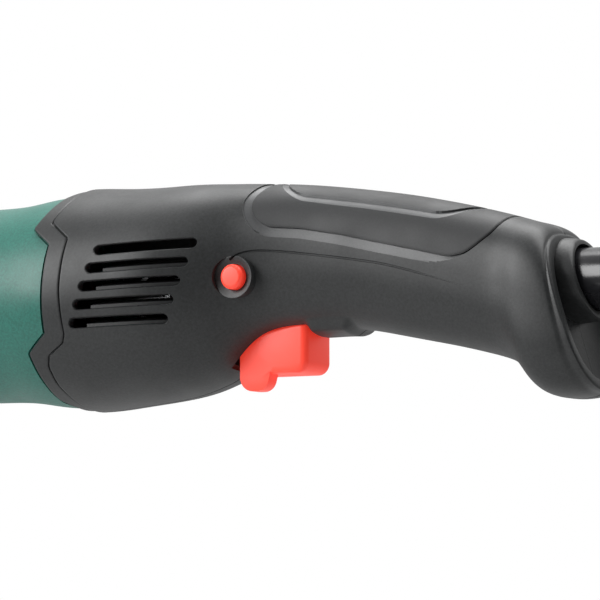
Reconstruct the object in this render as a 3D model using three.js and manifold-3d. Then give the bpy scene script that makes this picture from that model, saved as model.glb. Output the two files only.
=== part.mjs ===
// Electric string trimmer with a straight boom. Millimetres, +Z up, +X from the motor to the cutting head.
// The origin is on the boom's axis, in the middle of the strap clamp.
import * as THREE from "three";
import { mergeVertices } from "three/addons/utils/BufferGeometryUtils.js";
import Module from "manifold-3d";

const wasm = await Module();
wasm.setup();

// ---- Driving dimensions ----

const GAP = 0.3; // between pieces that touch
const FIT = 0.1; // between a shaft and what sits on it
const CUT = 1; // how far a cutter runs past what it cuts
const FAR = 80; // past every section of the handle, from its middle line

// Rear unit: x counts from the front rim of the motor housing's skirt, on the drive axis.
const JOINT_X = -330; // where that x = 0 lies in the part's frame
const HOUSING_REAR_X = -150;
const HOUSING_FRONT_X = 16;
const HOUSING_WALL = 2.6;
const CAP_REAR_X = -176;
const BODY_R = 38;
const SHELL_WALL = 3;
const LIP_DROP = 0.65; // the lip round the housing lies this much lower than the handle's skin
const INLAY_THICKNESS = 1.4;
const VENTS = 5; // on each side
const VENT_R = 1.85;

// Motor.
const MOTOR_SHAFT_R = 4;
const CORE_X = [-105, -55];
const CORE_R = 33;
const BORE_R = 20.8;
const ARMATURE_R = 20;
const ARMATURE_SLOTS = 12;
const COMMUTATOR_X = [-132, -118];
const COMMUTATOR_R = 11;
const BRUSH_X = -125;
const FAN_X = [-42, -27];
const FAN_R = 33;
const FAN_BLADES = 9;
const BRACKET_X = [-20, -8];

// Trigger, its pin and the switch.
const TRIGGER_HALF = 9.9;
const TRIGGER_PIVOT = [117.5, -8.6];
const PLUNGER = { x: 96, y: 8, r: 1.8 };
const SWITCH = { x: [86, 107.5], y: [5.2, 13.4], z: [-8.8, 9] };
const LOCK = { x: 91, z: 4.8, r: 4.8, face: -29.2 };

// Boom and drive shaft.
const BOOM_R = 12;
const BOOM_WALL = 1.5;
const BOOM_X = [140, 1184];
const DRIVE_R = 4;
const COUPLING = { x: [24, 52], r: 9 };

// Front handle.
const HANDLE_X = 450;
const PIVOT_Z = 35;
const LOOP = { half: 58, height: 138, r: 12 };

// Gearbox and cutting head.
const GEAR_X = 1222; // where the two gear axes meet
const TURN = 55; // degrees from the boom's direction down to the spindle's
const TEETH = [12, 17];
const CONE_R = 26;
const FACE_WIDTH = 10;
const SPINDLE_R = 5;
const SPOOL_R = 46;
const SPOOL_Z = [-112, -64]; // along the spindle, below the meeting of the axes
const GUARD_R = 132;

const AROUND = 18; // points round each section of the handle
const RAD = Math.PI / 180;

// ---- Colours and finishes ----

const finish = (color, roughness, metalness = 0) =>
  new THREE.MeshStandardMaterial({ color, roughness, metalness });
const TEAL = finish("#2f8a78", 0.5);
const BLACK = finish("#333638", 0.62);
const SOFT = finish("#2b2d2f", 0.75);
const RED = finish("#f2503f", 0.4);
const GLOSS_BLACK = finish("#141416", 0.25);
const STEEL = finish("#a9abad", 0.35, 0.9);
const DARK_STEEL = finish("#55585b", 0.4, 0.8);
const COPPER = finish("#b06a3a", 0.4, 0.8);
const ALLOY = finish("#8d9092", 0.5, 0.8);
const CARBON = finish("#222222", 0.8);
const NYLON = finish("#e9742b", 0.45);
const CREAM = finish("#d9d2bd", 0.55);

// ---- Solids ----

// A three.js geometry as a manifold-3d solid whose faces point out.
function solid(geometry) {
  const g = geometry.clone();
  g.deleteAttribute("normal");
  g.deleteAttribute("uv");
  const merged = mergeVertices(g, 1e-4);
  const kept = [];
  const index = merged.index.array;
  for (let i = 0; i < index.length; i += 3) {
    const [a, b, c] = [index[i], index[i + 1], index[i + 2]];
    if (a !== b && b !== c && c !== a) kept.push(a, b, c);
  }
  const vertProperties = new Float32Array(merged.attributes.position.array);
  const make = (list) =>
    new wasm.Manifold(new wasm.Mesh({ numProp: 3, vertProperties, triVerts: new Uint32Array(list) }));
  const made = make(kept);
  return made.volume() < 0 ? make(kept.reverse()) : made;
}

const cut = (first, ...rest) => rest.reduce((sum, s) => sum.subtract(s), first);
const join = (first, ...rest) => rest.reduce((sum, s) => sum.add(s), first);

function geometryOf(made) {
  const { vertProperties, triVerts } = made.getMesh();
  return new THREE.BufferGeometry()
    .setAttribute("position", new THREE.BufferAttribute(new Float32Array(vertProperties), 3))
    .setIndex([...triVerts]);
}

function piece(parent, name, made, material) {
  const geometry = geometryOf(made);
  geometry.computeVertexNormals();
  const mesh = new THREE.Mesh(geometry, material.clone());
  mesh.name = name;
  parent.add(mesh);
}

const box = (x, y, z) =>
  solid(
    new THREE.BoxGeometry(x[1] - x[0], y[1] - y[0], z[1] - z[0]).translate(
      (x[0] + x[1]) / 2,
      (y[0] + y[1]) / 2,
      (z[0] + z[1]) / 2,
    ),
  );

// Cylinders along one axis, from a to b, centred on the other two coordinates in order.
function rod(axis, r, [a, b], [u, v] = [0, 0], segments = 16) {
  const g = new THREE.CylinderGeometry(r, r, b - a, segments);
  const mid = (a + b) / 2;
  if (axis === "x") return solid(g.rotateZ(-Math.PI / 2).translate(mid, u, v));
  if (axis === "y") return solid(g.translate(u, mid, v));
  return solid(g.rotateX(Math.PI / 2).translate(u, v, mid));
}

const outline = (points) => new THREE.Shape(points.map(([a, b]) => new THREE.Vector2(a, b)));
const PLACE = {
  x: new THREE.Matrix4().set(0, 0, 1, 0, 1, 0, 0, 0, 0, 1, 0, 0, 0, 0, 0, 1),
  y: new THREE.Matrix4().set(1, 0, 0, 0, 0, 0, -1, 0, 0, 1, 0, 0, 0, 0, 0, 1),
  z: new THREE.Matrix4(),
};

// An outline in the plane across an axis, (y, z), (x, z) or (x, y), extruded along it from a to b.
function prism(axis, shape, [a, b], curveSegments = 6) {
  const made = Array.isArray(shape) ? outline(shape) : shape;
  const g = new THREE.ExtrudeGeometry(made, { depth: b - a, bevelEnabled: false, curveSegments });
  g.applyMatrix4(PLACE[axis]);
  if (axis === "x") g.translate(a, 0, 0);
  if (axis === "y") g.translate(0, b, 0);
  if (axis === "z") g.translate(0, 0, a);
  return solid(g);
}

// A profile of (radius, place along the axis) turned round the x axis or the z axis.
function turned(axis, profile, segments = 24) {
  const closed = [...profile, profile[0]].map(([r, p]) => new THREE.Vector2(r, p));
  const g = new THREE.LatheGeometry(closed, segments);
  return solid(axis === "x" ? g.rotateZ(-Math.PI / 2) : g.rotateX(Math.PI / 2));
}

const ring = (axis, inner, outer, [a, b], segments = 24) =>
  turned(axis, [[inner, a], [outer, a], [outer, b], [inner, b]], segments);

// A stadium outline between two points, r round each of them.
function slotShape([ax, az], [bx, bz], r) {
  const turn = Math.atan2(bz - az, bx - ax);
  const shape = new THREE.Shape();
  shape.absarc(bx, bz, r, turn - Math.PI / 2, turn + Math.PI / 2, false);
  shape.absarc(ax, az, r, turn + Math.PI / 2, turn + Math.PI * 1.5, false);
  shape.closePath();
  return shape;
}

function sectorShape(inner, outer, from, to) {
  const shape = new THREE.Shape();
  shape.absarc(0, 0, outer, from * RAD, to * RAD, false);
  shape.absarc(0, 0, inner, to * RAD, from * RAD, true);
  shape.closePath();
  return shape;
}

function spring(axis, coilR, wireR, [a, b], turns, [u, v] = [0, 0]) {
  const points = [];
  const perTurn = 8;
  const steps = turns * perTurn;
  const length = b - a - 2 * wireR;
  for (let i = 0; i <= steps; i++) {
    const angle = (i / perTurn) * 2 * Math.PI;
    const along = a + wireR + (length * i) / steps;
    const p = [coilR * Math.cos(angle), coilR * Math.sin(angle)];
    if (axis === "y") points.push(new THREE.Vector3(u + p[0], along, v + p[1]));
    else points.push(new THREE.Vector3(u + p[0], v + p[1], along));
  }
  const wire = new THREE.Shape().absarc(0, 0, wireR, 0, 2 * Math.PI, false);
  const path = new THREE.CatmullRomCurve3(points);
  return solid(new THREE.ExtrudeGeometry(wire, { steps, extrudePath: path, curveSegments: 2 }));
}

// ---- Handle: a loft through upright sections that follow its bent middle line ----

// Each station: the section's top point (x, z), its bottom point (x, z), its half width, and how
// square it is (2 is an ellipse).
const STATIONS = [
  [-8, 43.2, -8, -42.0, 42.6, 2.0],
  [15, 44.0, 15, -43.1, 43.4, 2.0],
  [32, 43.3, 32, -41.9, 42.6, 2.04],
  [48, 43.1, 46, -40.4, 41.4, 2.08],
  [60, 43.4, 57, -38.9, 39.4, 2.12],
  [70, 43.3, 65.5, -37.0, 36.3, 2.16],
  [78, 43.0, 72.5, -34.7, 33.0, 2.2],
  [86, 42.7, 79, -31.4, 29.6, 2.25],
  [95, 42.2, 86, -24.2, 26.4, 2.3],
  [105, 41.6, 94, -18.2, 24.1, 2.36],
  [116, 40.6, 104, -15.5, 22.6, 2.4],
  [128, 39.2, 117, -15.0, 21.8, 2.4],
  [142, 37.3, 132, -15.1, 21.4, 2.4],
  [156, 35.1, 147, -17.4, 21.3, 2.4],
  [169, 32.6, 161, -20.2, 21.5, 2.4],
  [181, 30.0, 175, -23.0, 21.9, 2.38],
  [192, 27.3, 188, -26.0, 22.4, 2.4],
  [201, 24.9, 198.5, -28.9, 22.9, 2.48],
  [207.5, 23.0, 206.1, -32.7, 24.3, 2.7],
  [212, 21.9, 211.2, -38.6, 25.2, 2.85],
  [215.5, 20.7, 217.8, -43.3, 25.5, 2.9],
  [218, 19.2, 228, -44.4, 25.3, 2.8],
  [219.7, 17.2, 238.6, -42.6, 24.4, 2.6],
];

// Natural cubic spline through values at 0, 1, 2...
function naturalSpline(values) {
  const n = values.length;
  const bend = new Array(n).fill(0);
  const scratch = new Array(n).fill(0);
  for (let i = 1; i < n - 1; i++) {
    const pivot = 4 - scratch[i - 1];
    scratch[i] = 1 / pivot;
    bend[i] = (6 * (values[i + 1] - 2 * values[i] + values[i - 1]) - bend[i - 1]) / pivot;
  }
  for (let i = n - 2; i > 0; i--) bend[i] -= scratch[i] * bend[i + 1];
  return (t) => {
    const i = Math.min(Math.floor(t), n - 2);
    const f = t - i;
    const g = 1 - f;
    const curve = ((g ** 3 - g) * bend[i] + (f ** 3 - f) * bend[i + 1]) / 6;
    return g * values[i] + f * values[i + 1] + curve;
  };
}

const LOFT = STATIONS[0].map((_, k) => naturalSpline(STATIONS.map((s) => s[k])));

// The section at station t, drawn in by inset, as points round it.
function section(t, inset, around) {
  const [xt, zt, xb, zb, half, square] = LOFT.map((f) => f(t));
  const height = Math.hypot(xt - xb, zt - zb);
  const [ux, uz] = [(xt - xb) / height, (zt - zb) / height];
  const tall = height / 2 - inset;
  const points = [];
  for (let j = 0; j < around; j++) {
    const a = (j / around) * 2 * Math.PI;
    const c = Math.sign(Math.cos(a)) * Math.abs(Math.cos(a)) ** (2 / square);
    const s = Math.sign(Math.sin(a)) * Math.abs(Math.sin(a)) ** (2 / square);
    points.push([(xt + xb) / 2 + ux * tall * s, (half - inset) * c, (zt + zb) / 2 + uz * tall * s]);
  }
  return points;
}

function handleLoft(inset, from = 0, to = STATIONS.length - 1, around = AROUND, count = to - from) {
  const rows = [];
  for (let i = 0; i <= count; i++) rows.push(section(from + (i * (to - from)) / count, inset, around));
  const positions = rows.flat(2);
  const index = [];
  for (let i = 0; i < count; i++)
    for (let j = 0; j < around; j++) {
      const k = (j + 1) % around;
      const [a, b] = [i * around, (i + 1) * around];
      index.push(a + j, b + j, b + k, a + j, b + k, a + k);
    }
  for (let j = 1; j < around - 1; j++) {
    const last = count * around;
    index.push(0, j, j + 1, last, last + j + 1, last + j);
  }
  const g = new THREE.BufferGeometry().setAttribute(
    "position",
    new THREE.Float32BufferAttribute(positions, 3),
  );
  return solid(g.setIndex(index));
}

// The zigzag edge where the handle meets the motor housing, top to bottom, as (x, z).
const LIP_EDGE = [
  [12.5, 43],
  [9.6, 39.5],
  [5.3, 26.6],
  [14.9, 20],
  [14.5, 1.9],
  [14.2, -15],
  [4.8, -22.2],
  [6.4, -38.9],
  [9.4, -42],
];

// Where the lip steps up to the handle's skin, in the same order.
const STEP_EDGE = [
  [16, 44],
  [15.2, 36],
  [13.5, 28.9],
  [23.4, 22],
  [22.8, 2],
  [23.5, -15.5],
  [22, -19],
  [14.5, -23.4],
  [12.4, -27.5],
  [12.4, -34],
  [15, -43],
];

// The soft inlay's edge seen from the side, as (x, z).
const INLAY_EDGE = [
  [99, 60],
  [97.5, 42],
  [94.4, 34.9],
  [95.8, 30.2],
  [98.7, 26.2],
  [103.7, 23.8],
  [117.1, 22.7],
  [133.5, 19.8],
  [150.2, 16.1],
  [166.8, 12.5],
  [176.8, 10.2],
  [181.8, 9.4],
  [188.3, 10.4],
  [192.6, 13.5],
  [197.6, 17.8],
  [201.5, 25.5],
  [203, 60],
];

// The outline moved outwards by a distance; its points run anticlockwise.
function grown(points, by) {
  const n = points.length;
  const side = ([ax, az], [bx, bz]) => {
    const length = Math.hypot(bx - ax, bz - az);
    return [(bz - az) / length, -(bx - ax) / length];
  };
  return points.map((p, i) => {
    const [ax, az] = side(points[(i + n - 1) % n], p);
    const [bx, bz] = side(p, points[(i + 1) % n]);
    const spread = 1 + ax * bx + az * bz;
    return [p[0] + (by * (ax + bx)) / spread, p[1] + (by * (az + bz)) / spread];
  });
}

// The area between an edge that runs from top to bottom and an upright line at x.
const upright = (edge, x) => [[x, FAR], [edge[0][0], FAR], ...edge, [edge.at(-1)[0], -FAR], [x, -FAR]];

const HANDLE_END = 260; // past the handle's front face

const SCREWS = [
  [32, 33.5],
  [32, -32.5],
  [125, 14],
  [206, -27],
];

function handleShells(parent) {
  const across = [-FAR, FAR];
  let whole = cut(handleLoft(0), handleLoft(SHELL_WALL, 0, 19, 14, 10));
  whole = whole.intersect(prism("y", upright(LIP_EDGE, HANDLE_END), across));
  const skin = handleLoft(-CUT).subtract(handleLoft(LIP_DROP));
  whole = cut(whole, skin.intersect(prism("y", upright(STEP_EDGE, -FAR), across)));
  const inlayBed = handleLoft(-CUT, 6, 20).subtract(handleLoft(INLAY_THICKNESS + GAP));
  whole = cut(whole, inlayBed.intersect(prism("y", grown(INLAY_EDGE, 0.5), across)));
  // The housing's skirt fits inside the lip, and the boom lies in two saddles and the collar.
  whole = cut(whole, solid(housingBody(GAP, 0)));
  const saddles = [150, 196].map((x) => handleLoft(2.2).intersect(box([x, x + 4], [-60, 60], [-60, 16])));
  whole = join(whole, ...saddles, collar());
  const bosses = SCREWS.map(([x, z]) => handleLoft(1).intersect(rod("y", 4, [-60, 60], [x, z], 12)));
  whole = join(whole, ...bosses);
  whole = cut(whole, rod("x", BOOM_R + GAP, [BOOM_X[0] - CUT, HANDLE_END], [0, 0], 20));
  for (let i = 0; i < VENTS; i++) {
    const shape = slotShape([38.2 - 2.5 * i, 16.4 - 6.95 * i], [75.2 - 2.65 * i, 18.2 - 7.2 * i], VENT_R);
    whole = cut(whole, prism("y", shape, [-FAR, -20], 2), prism("y", shape, [20, FAR], 2));
  }
  // A low boss behind the trigger, under its pin.
  whole = join(whole, box([115.5, 131.5], [-9.5, 9.5], [-17.6, -13]));
  const opening = [[79.3, -60], [79.3, -12], [114.4, -7], [114.4, -60]];
  whole = cut(whole, prism("y", opening, [-TRIGGER_HALF - 0.5, TRIGGER_HALF + 0.5]));
  const [px, pz] = TRIGGER_PIVOT;
  const pinBosses = [[-16, -TRIGGER_HALF - 0.4], [TRIGGER_HALF + 0.4, 16]].map((y) =>
    handleLoft(1).intersect(rod("y", 3.4, y, [px, pz], 12)),
  );
  whole = join(whole, ...pinBosses);
  // Pockets for the trigger's ear and for the switch.
  whole = cut(
    whole,
    rod("y", 1.5 + GAP, [-14, 14], [px, pz], 12),
    box([112, 122.5], [-9.2, 9.2], [-12.8, -4]),
    box([85, 108], [4, 13.8], [-9.2, 10]),
  );
  // Guide for the lock button, on the right side only.
  const guide = handleLoft(0.5).intersect(rod("y", 7.4, [-40, -9], [LOCK.x, LOCK.z], 20));
  whole = join(whole, guide);
  whole = join(whole, rod("y", 6.5, [-27.4, -22], [LOCK.x, LOCK.z], 20));
  whole = cut(
    whole,
    rod("y", LOCK.r + GAP, [-40, -12.5], [LOCK.x, LOCK.z], 20),
    rod("y", 2.3, [-14, -5], [LOCK.x, LOCK.z], 12),
  );
  const leftHalf = box([-50, 300], [0, 90], [-90, 90]);
  const rightHalf = box([-50, 300], [-90, -GAP], [-90, 90]);
  let left = whole.intersect(leftHalf);
  let rightShell = whole.intersect(rightHalf);
  for (const [x, z] of SCREWS) {
    left = cut(left, rod("y", 2.1, [-5, 40], [x, z], 10), rod("y", 3.6, [7.7, 60], [x, z], 14));
    rightShell = cut(rightShell, rod("y", 1.9, [-14, 5], [x, z], 10));
  }
  piece(parent, "handle_shell_left", left, BLACK);
  piece(parent, "handle_shell_right", rightShell, BLACK);
  const inlay = handleLoft(0, 6, 20)
    .subtract(handleLoft(INLAY_THICKNESS))
    .intersect(prism("y", INLAY_EDGE, [-80, 80]));
  piece(parent, "grip_inlay", inlay, SOFT);
  SCREWS.forEach(([x, z], i) => {
    const slit = box([x - 2, x + 2], [9.6, 12], [z - 0.5, z + 0.5]);
    const head = cut(rod("y", 3.3, [8, 10.8], [x, z], 12), slit);
    const shank = rod("y", 1.6, [-12, 8.2], [x, z], 10);
    piece(parent, "shell_screw_" + (i + 1), join(head, shank), DARK_STEEL);
  });
}

// The round collar that the boom comes out of, on the handle's leaning front face.
function collar() {
  const lean = Math.atan2(0.3, 1);
  const cone = new THREE.CylinderGeometry(15, 16.4, 16, 20).rotateZ(-Math.PI / 2);
  return solid(cone.rotateY(-lean).translate(223.6, 0, 0));
}

// ---- Motor housing and what it holds ----

// The housing's outside, offset outwards or inwards; it flares towards the handle.
function housingBody(offset, wall) {
  const r = (x) => BODY_R + 3.6 / (1 + Math.exp(-(x + 6) / 5.5)) + offset - wall;
  const [rear, front] = [HOUSING_REAR_X - offset, HOUSING_FRONT_X + offset];
  const profile = [[0, rear]];
  for (const x of [rear, -90, -34, -22, -14, -8, -2, 4, 10, front]) profile.push([r(x), x]);
  profile.push([0, front]);
  const points = profile.map(([a, b]) => new THREE.Vector2(a, b));
  return new THREE.LatheGeometry(points, 20).rotateZ(-Math.PI / 2);
}

function motorHousing(parent) {
  const bore = join(
    rod("x", BODY_R - HOUSING_WALL, [HOUSING_REAR_X - CUT, HOUSING_FRONT_X + CUT], [0, 0], 24),
    rod("x", BODY_R + 0.8, [-3, HOUSING_FRONT_X + CUT], [0, 0], 24),
  );
  let shell = cut(solid(housingBody(0, 0)), bore);
  // Inner ribs that the stator and the bearing bracket sit against.
  shell = join(shell, ring("x", CORE_R + GAP, BODY_R - 1, [CORE_X[0], CORE_X[0] + 4]));
  shell = join(shell, ring("x", CORE_R + GAP, BODY_R - 1, [CORE_X[1] - 4, CORE_X[1]]));
  shell = join(shell, ring("x", 34.3, BODY_R - 1, [BRACKET_X[0] + 3, BRACKET_X[1]]));
  for (const side of [-1, 1]) {
    const boss = rod("y", 10, side < 0 ? [-37.4, -30] : [30, 37.4], [BRUSH_X, 0], 20);
    const hole = rod("y", 7.8, side < 0 ? [-50, -20] : [20, 50], [BRUSH_X, 0], 20);
    shell = cut(join(shell, boss), hole);
  }
  piece(parent, "motor_housing", shell, TEAL);
  for (const [side, name] of [[1, "left"], [-1, "right"]]) {
    const span = side > 0 ? [31, 37.2] : [-37.2, -31];
    const slit = side > 0 ? [35.8, 40] : [-40, -35.8];
    const screwdriver = box([BRUSH_X - 5, BRUSH_X + 5], slit, [-1, 1]);
    piece(parent, "brush_cap_" + name, cut(rod("y", 7.5, span, [BRUSH_X, 0], 20), screwdriver), BLACK);
    const reach = side > 0 ? [COMMUTATOR_R + GAP, 30.6] : [-30.6, -COMMUTATOR_R - GAP];
    piece(parent, "carbon_brush_" + name, box([BRUSH_X - 4, BRUSH_X + 4], reach, [-3, 3]), CARBON);
  }
}

function rearCap(parent) {
  const x0 = CAP_REAR_X;
  const x1 = HOUSING_REAR_X - GAP;
  let cap = turned("x", [
    [0, x0], [26, x0], [32, x0 + 2], [36, x0 + 7], [38, x0 + 15], [38, x1],
    [35.2, x1], [35.2, x0 + 15], [33, x0 + 9], [29, x0 + 5], [9.3, x0 + 5], [9.3, x1 + 10], [0, x1 + 10],
  ], 24);
  cap = cut(cap, rod("x", 8.3, [x1, x1 + 20], [0, 0], 16), rod("x", 5, [x0 + 8, x1 + 20], [0, 0], 20));
  for (let i = 0; i < 10; i++) {
    const slot = box([x0 + 13, x0 + 22], [30, 45], [-1.6, 1.6]).rotate([(i * 360) / 10 + 18, 0, 0]);
    cap = cut(cap, slot);
  }
  cap = cut(cap, rod("x", 6.4, [x0 - CUT, x0 + 20], [0, -20], 20));
  piece(parent, "rear_cap", cap, BLACK);
  const gland = cut(
    join(rod("x", 6.1, [x0 - 3, x0 + 7], [0, -20], 20), rod("x", 8.2, [x0 - 5.5, x0 - GAP], [0, -20], 20)),
    rod("x", 3.6, [x0 - 8, x0 + 10], [0, -20], 16),
  );
  piece(parent, "cord_gland", gland, SOFT);
}

function motorInside(parent) {
  const [c0, c1] = CORE_X;
  let core = ring("x", BORE_R, CORE_R, CORE_X, 24);
  const coilBand = [23.4, 29.4];
  for (const [name, base] of [["upper", 0], ["lower", 180]]) {
    const leg = (from, to, r, x) => prism("x", sectorShape(r[0], r[1], base + from, base + to), x, 3);
    for (const [from, to] of [[28, 50], [130, 152]])
      core = cut(core, leg(from, to, [coilBand[0] - 0.9, coilBand[1] + 0.9], [c0 - CUT, c1 + CUT]));
    const loop = leg(29, 151, coilBand, [c0 - 9, c1 + 9]);
    const window = leg(49, 131, [10, 40], [c0 - 0.6, c1 + 0.6]);
    piece(parent, "field_coil_" + name, cut(loop, window), COPPER);
  }
  piece(parent, "stator_core", core, DARK_STEEL);
  let armature = ring("x", MOTOR_SHAFT_R + FIT, ARMATURE_R, CORE_X, 20);
  let winding = join(
    ring("x", 6.5, 17.6, [c0 - 9, c0 - GAP], 16),
    ring("x", 6.5, 17.6, [c1 + GAP, c1 + 9], 16),
  );
  for (let i = 0; i < ARMATURE_SLOTS; i++) {
    const turn = [(i * 360) / ARMATURE_SLOTS, 0, 0];
    const pocket = box([c0 - CUT, c1 + CUT], [-2, 2], [10, 17]);
    const mouth = box([c0 - CUT, c1 + CUT], [-0.8, 0.8], [16, 22]);
    armature = cut(armature, pocket.rotate(turn), mouth.rotate(turn));
    winding = join(winding, box([c0 - 2, c1 + 2], [-1.6, 1.6], [10.4, 16.6]).rotate(turn));
  }
  piece(parent, "armature_core", armature, STEEL);
  piece(parent, "armature_winding", winding, COPPER);
  let commutator = ring("x", MOTOR_SHAFT_R + FIT, COMMUTATOR_R, COMMUTATOR_X, 20);
  for (let i = 0; i < ARMATURE_SLOTS; i++) {
    const groove = box([COMMUTATOR_X[0] - CUT, COMMUTATOR_X[1] + CUT], [-0.35, 0.35], [10, 12]);
    commutator = cut(commutator, groove.rotate([(i * 360) / ARMATURE_SLOTS, 0, 0]));
  }
  piece(parent, "commutator", commutator, COPPER);
  piece(parent, "motor_shaft", rod("x", MOTOR_SHAFT_R, [-158, COUPLING.x[0] + 12], [0, 0], 16), STEEL);
  const disc = ring("x", 8, FAN_R, [FAN_X[0], FAN_X[0] + 1.6], 20);
  let fan = join(ring("x", MOTOR_SHAFT_R + FIT, 9, FAN_X, 16), disc);
  for (let i = 0; i < FAN_BLADES; i++) {
    const blade = box([FAN_X[0] + 1, FAN_X[1]], [-0.8, 0.8], [8, FAN_R - 0.5]);
    fan = join(fan, blade.rotate([(i * 360) / FAN_BLADES, 0, 0]));
  }
  piece(parent, "cooling_fan", fan, CREAM);
  piece(parent, "rear_bearing", ring("x", MOTOR_SHAFT_R + FIT, 8, [-149.6, -142], 16), STEEL);
  const [b0, b1] = BRACKET_X;
  piece(parent, "front_bearing", ring("x", MOTOR_SHAFT_R + FIT, 9, [b0 + 3, b1 - 2], 16), STEEL);
  let bracket = join(ring("x", 9 + GAP, 13, [b0, b1], 20), ring("x", 30.6, 34, [b0 + 3, b1], 24));
  for (let i = 0; i < 4; i++)
    bracket = join(bracket, box([b0 + 4, b1 - 1], [-4, 4], [12, 32]).rotate([i * 90 + 45, 0, 0]));
  bracket = join(bracket, ring("x", MOTOR_SHAFT_R + 1, 12, [b0, b0 + 2], 20));
  piece(parent, "bearing_bracket", bracket, ALLOY);
}

// ---- Trigger, lock button and switch ----

function controls(parent) {
  const [px, pz] = TRIGGER_PIVOT;
  const shape = new THREE.Shape();
  shape.moveTo(84, -15.6);
  shape.lineTo(84, -31.5);
  shape.bezierCurveTo(84, -35.5, 87, -37.8, 90.6, -37.8);
  shape.bezierCurveTo(94.6, -37.8, 96.4, -36, 97.6, -33.4);
  shape.quadraticCurveTo(98.6, -31.2, 101.4, -31.2);
  shape.lineTo(109.6, -31.2);
  shape.quadraticCurveTo(113.2, -31.2, 113.2, -27.4);
  shape.lineTo(113.2, -10.9);
  shape.closePath();
  const blade = prism("y", shape, [-TRIGGER_HALF, TRIGGER_HALF], 5);
  const earShape = [[108, -14.4], [118, -11.6], [120.2, -9], [118, -5.9], [113, -6.6], [108, -12.2]];
  const ear = prism("y", earShape, [-8.6, 8.6]);
  piece(parent, "trigger", cut(join(blade, ear), rod("y", 1.5 + GAP, [-30, 30], [px, pz], 12)), RED);
  piece(parent, "trigger_pin", rod("y", 1.5, [-13.4, 13.4], [px, pz], 12), STEEL);
  piece(parent, "trigger_spring", spring("z", 2.6, 0.4, [-12.4, -5.4], 3, [100, -5.5]), STEEL);
  const { x, y, z } = SWITCH;
  const body = cut(
    box(x, y, z),
    rod("z", PLUNGER.r + GAP, [z[0] - CUT, -1], [PLUNGER.x, PLUNGER.y], 12),
    box([x[0] - CUT, x[0] + 3], [y[0] - CUT, y[0] + 3], [z[0] - CUT, z[1] + CUT]),
  );
  piece(parent, "switch_body", body, GLOSS_BLACK);
  piece(parent, "switch_plunger", rod("z", PLUNGER.r, [-13.2, -5.2], [PLUNGER.x, PLUNGER.y], 12), CREAM);
  const head = rod("y", LOCK.r, [LOCK.face, -20], [LOCK.x, LOCK.z], 16);
  const stem = rod("y", 2, [-20.5, -7], [LOCK.x, LOCK.z], 12);
  piece(parent, "lock_button", join(head, stem), RED);
  piece(parent, "lock_button_spring", spring("y", 3.4, 0.4, [-19.7, -15.8], 3, [LOCK.x, LOCK.z]), STEEL);
}

// ---- Boom and drive line ----

function driveLine(parent) {
  const { x, r } = COUPLING;
  const slits = [[3, 20], [-20, -3]].map((z) => box([36.4, 39], [-20, 20], z));
  piece(parent, "shaft_coupling", cut(ring("x", MOTOR_SHAFT_R + FIT, r, x, 16), ...slits), STEEL);
  const shaftEnds = [x[0] + 13, GEAR_X - CONE_R - 2.4];
  piece(parent, "drive_shaft", rod("x", DRIVE_R, shaftEnds, [0, 0], 16), STEEL);
  const [b0, b1] = BOOM_X;
  piece(parent, "boom_tube", ring("x", BOOM_R - BOOM_WALL, BOOM_R, [b0, b1], 24), GLOSS_BLACK);
  [["rear", 500], ["front", 1000]].forEach(([name, at]) => {
    const bushing = ring("x", DRIVE_R + FIT, BOOM_R - BOOM_WALL - GAP, [at, at + 24], 16);
    piece(parent, "shaft_bushing_" + name, bushing, CREAM);
  });
}

// A band round the boom, with a steel eye for the carrying strap's hook above it.
function strapClamp(parent) {
  const w = 9;
  let band = ring("x", BOOM_R + GAP, BOOM_R + 4, [-w, w], 20);
  band = join(band, box([-w, w], [-5.2, 5.2], [BOOM_R + 2, 24]));
  const split = box([-w - CUT, w + CUT], [-1, 1], [BOOM_R - 2, 25]);
  band = cut(band, split, rod("y", 2.3, [-20, 20], [0, 20.2], 12));
  const eye = prism("x", new THREE.Shape().absarc(0, 36, 10, 0, 2 * Math.PI, false), [-2, 2], 10);
  const plate = box([-2, 2], [-5.2, 5.2], [23.4, 30]);
  band = cut(join(band, eye, plate), rod("x", 6.2, [-5, 5], [0, 36], 20));
  piece(parent, "strap_clamp", band, DARK_STEEL);
  const bolt = join(
    rod("y", 3.8, [5.5, 8.5], [0, 20.2], 6),
    rod("y", 2, [-9, 6], [0, 20.2], 12),
    rod("y", 3.8, [-8.6, -5.5], [0, 20.2], 6),
  );
  piece(parent, "strap_bolt", bolt, STEEL);
}

// ---- Front handle ----

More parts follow.
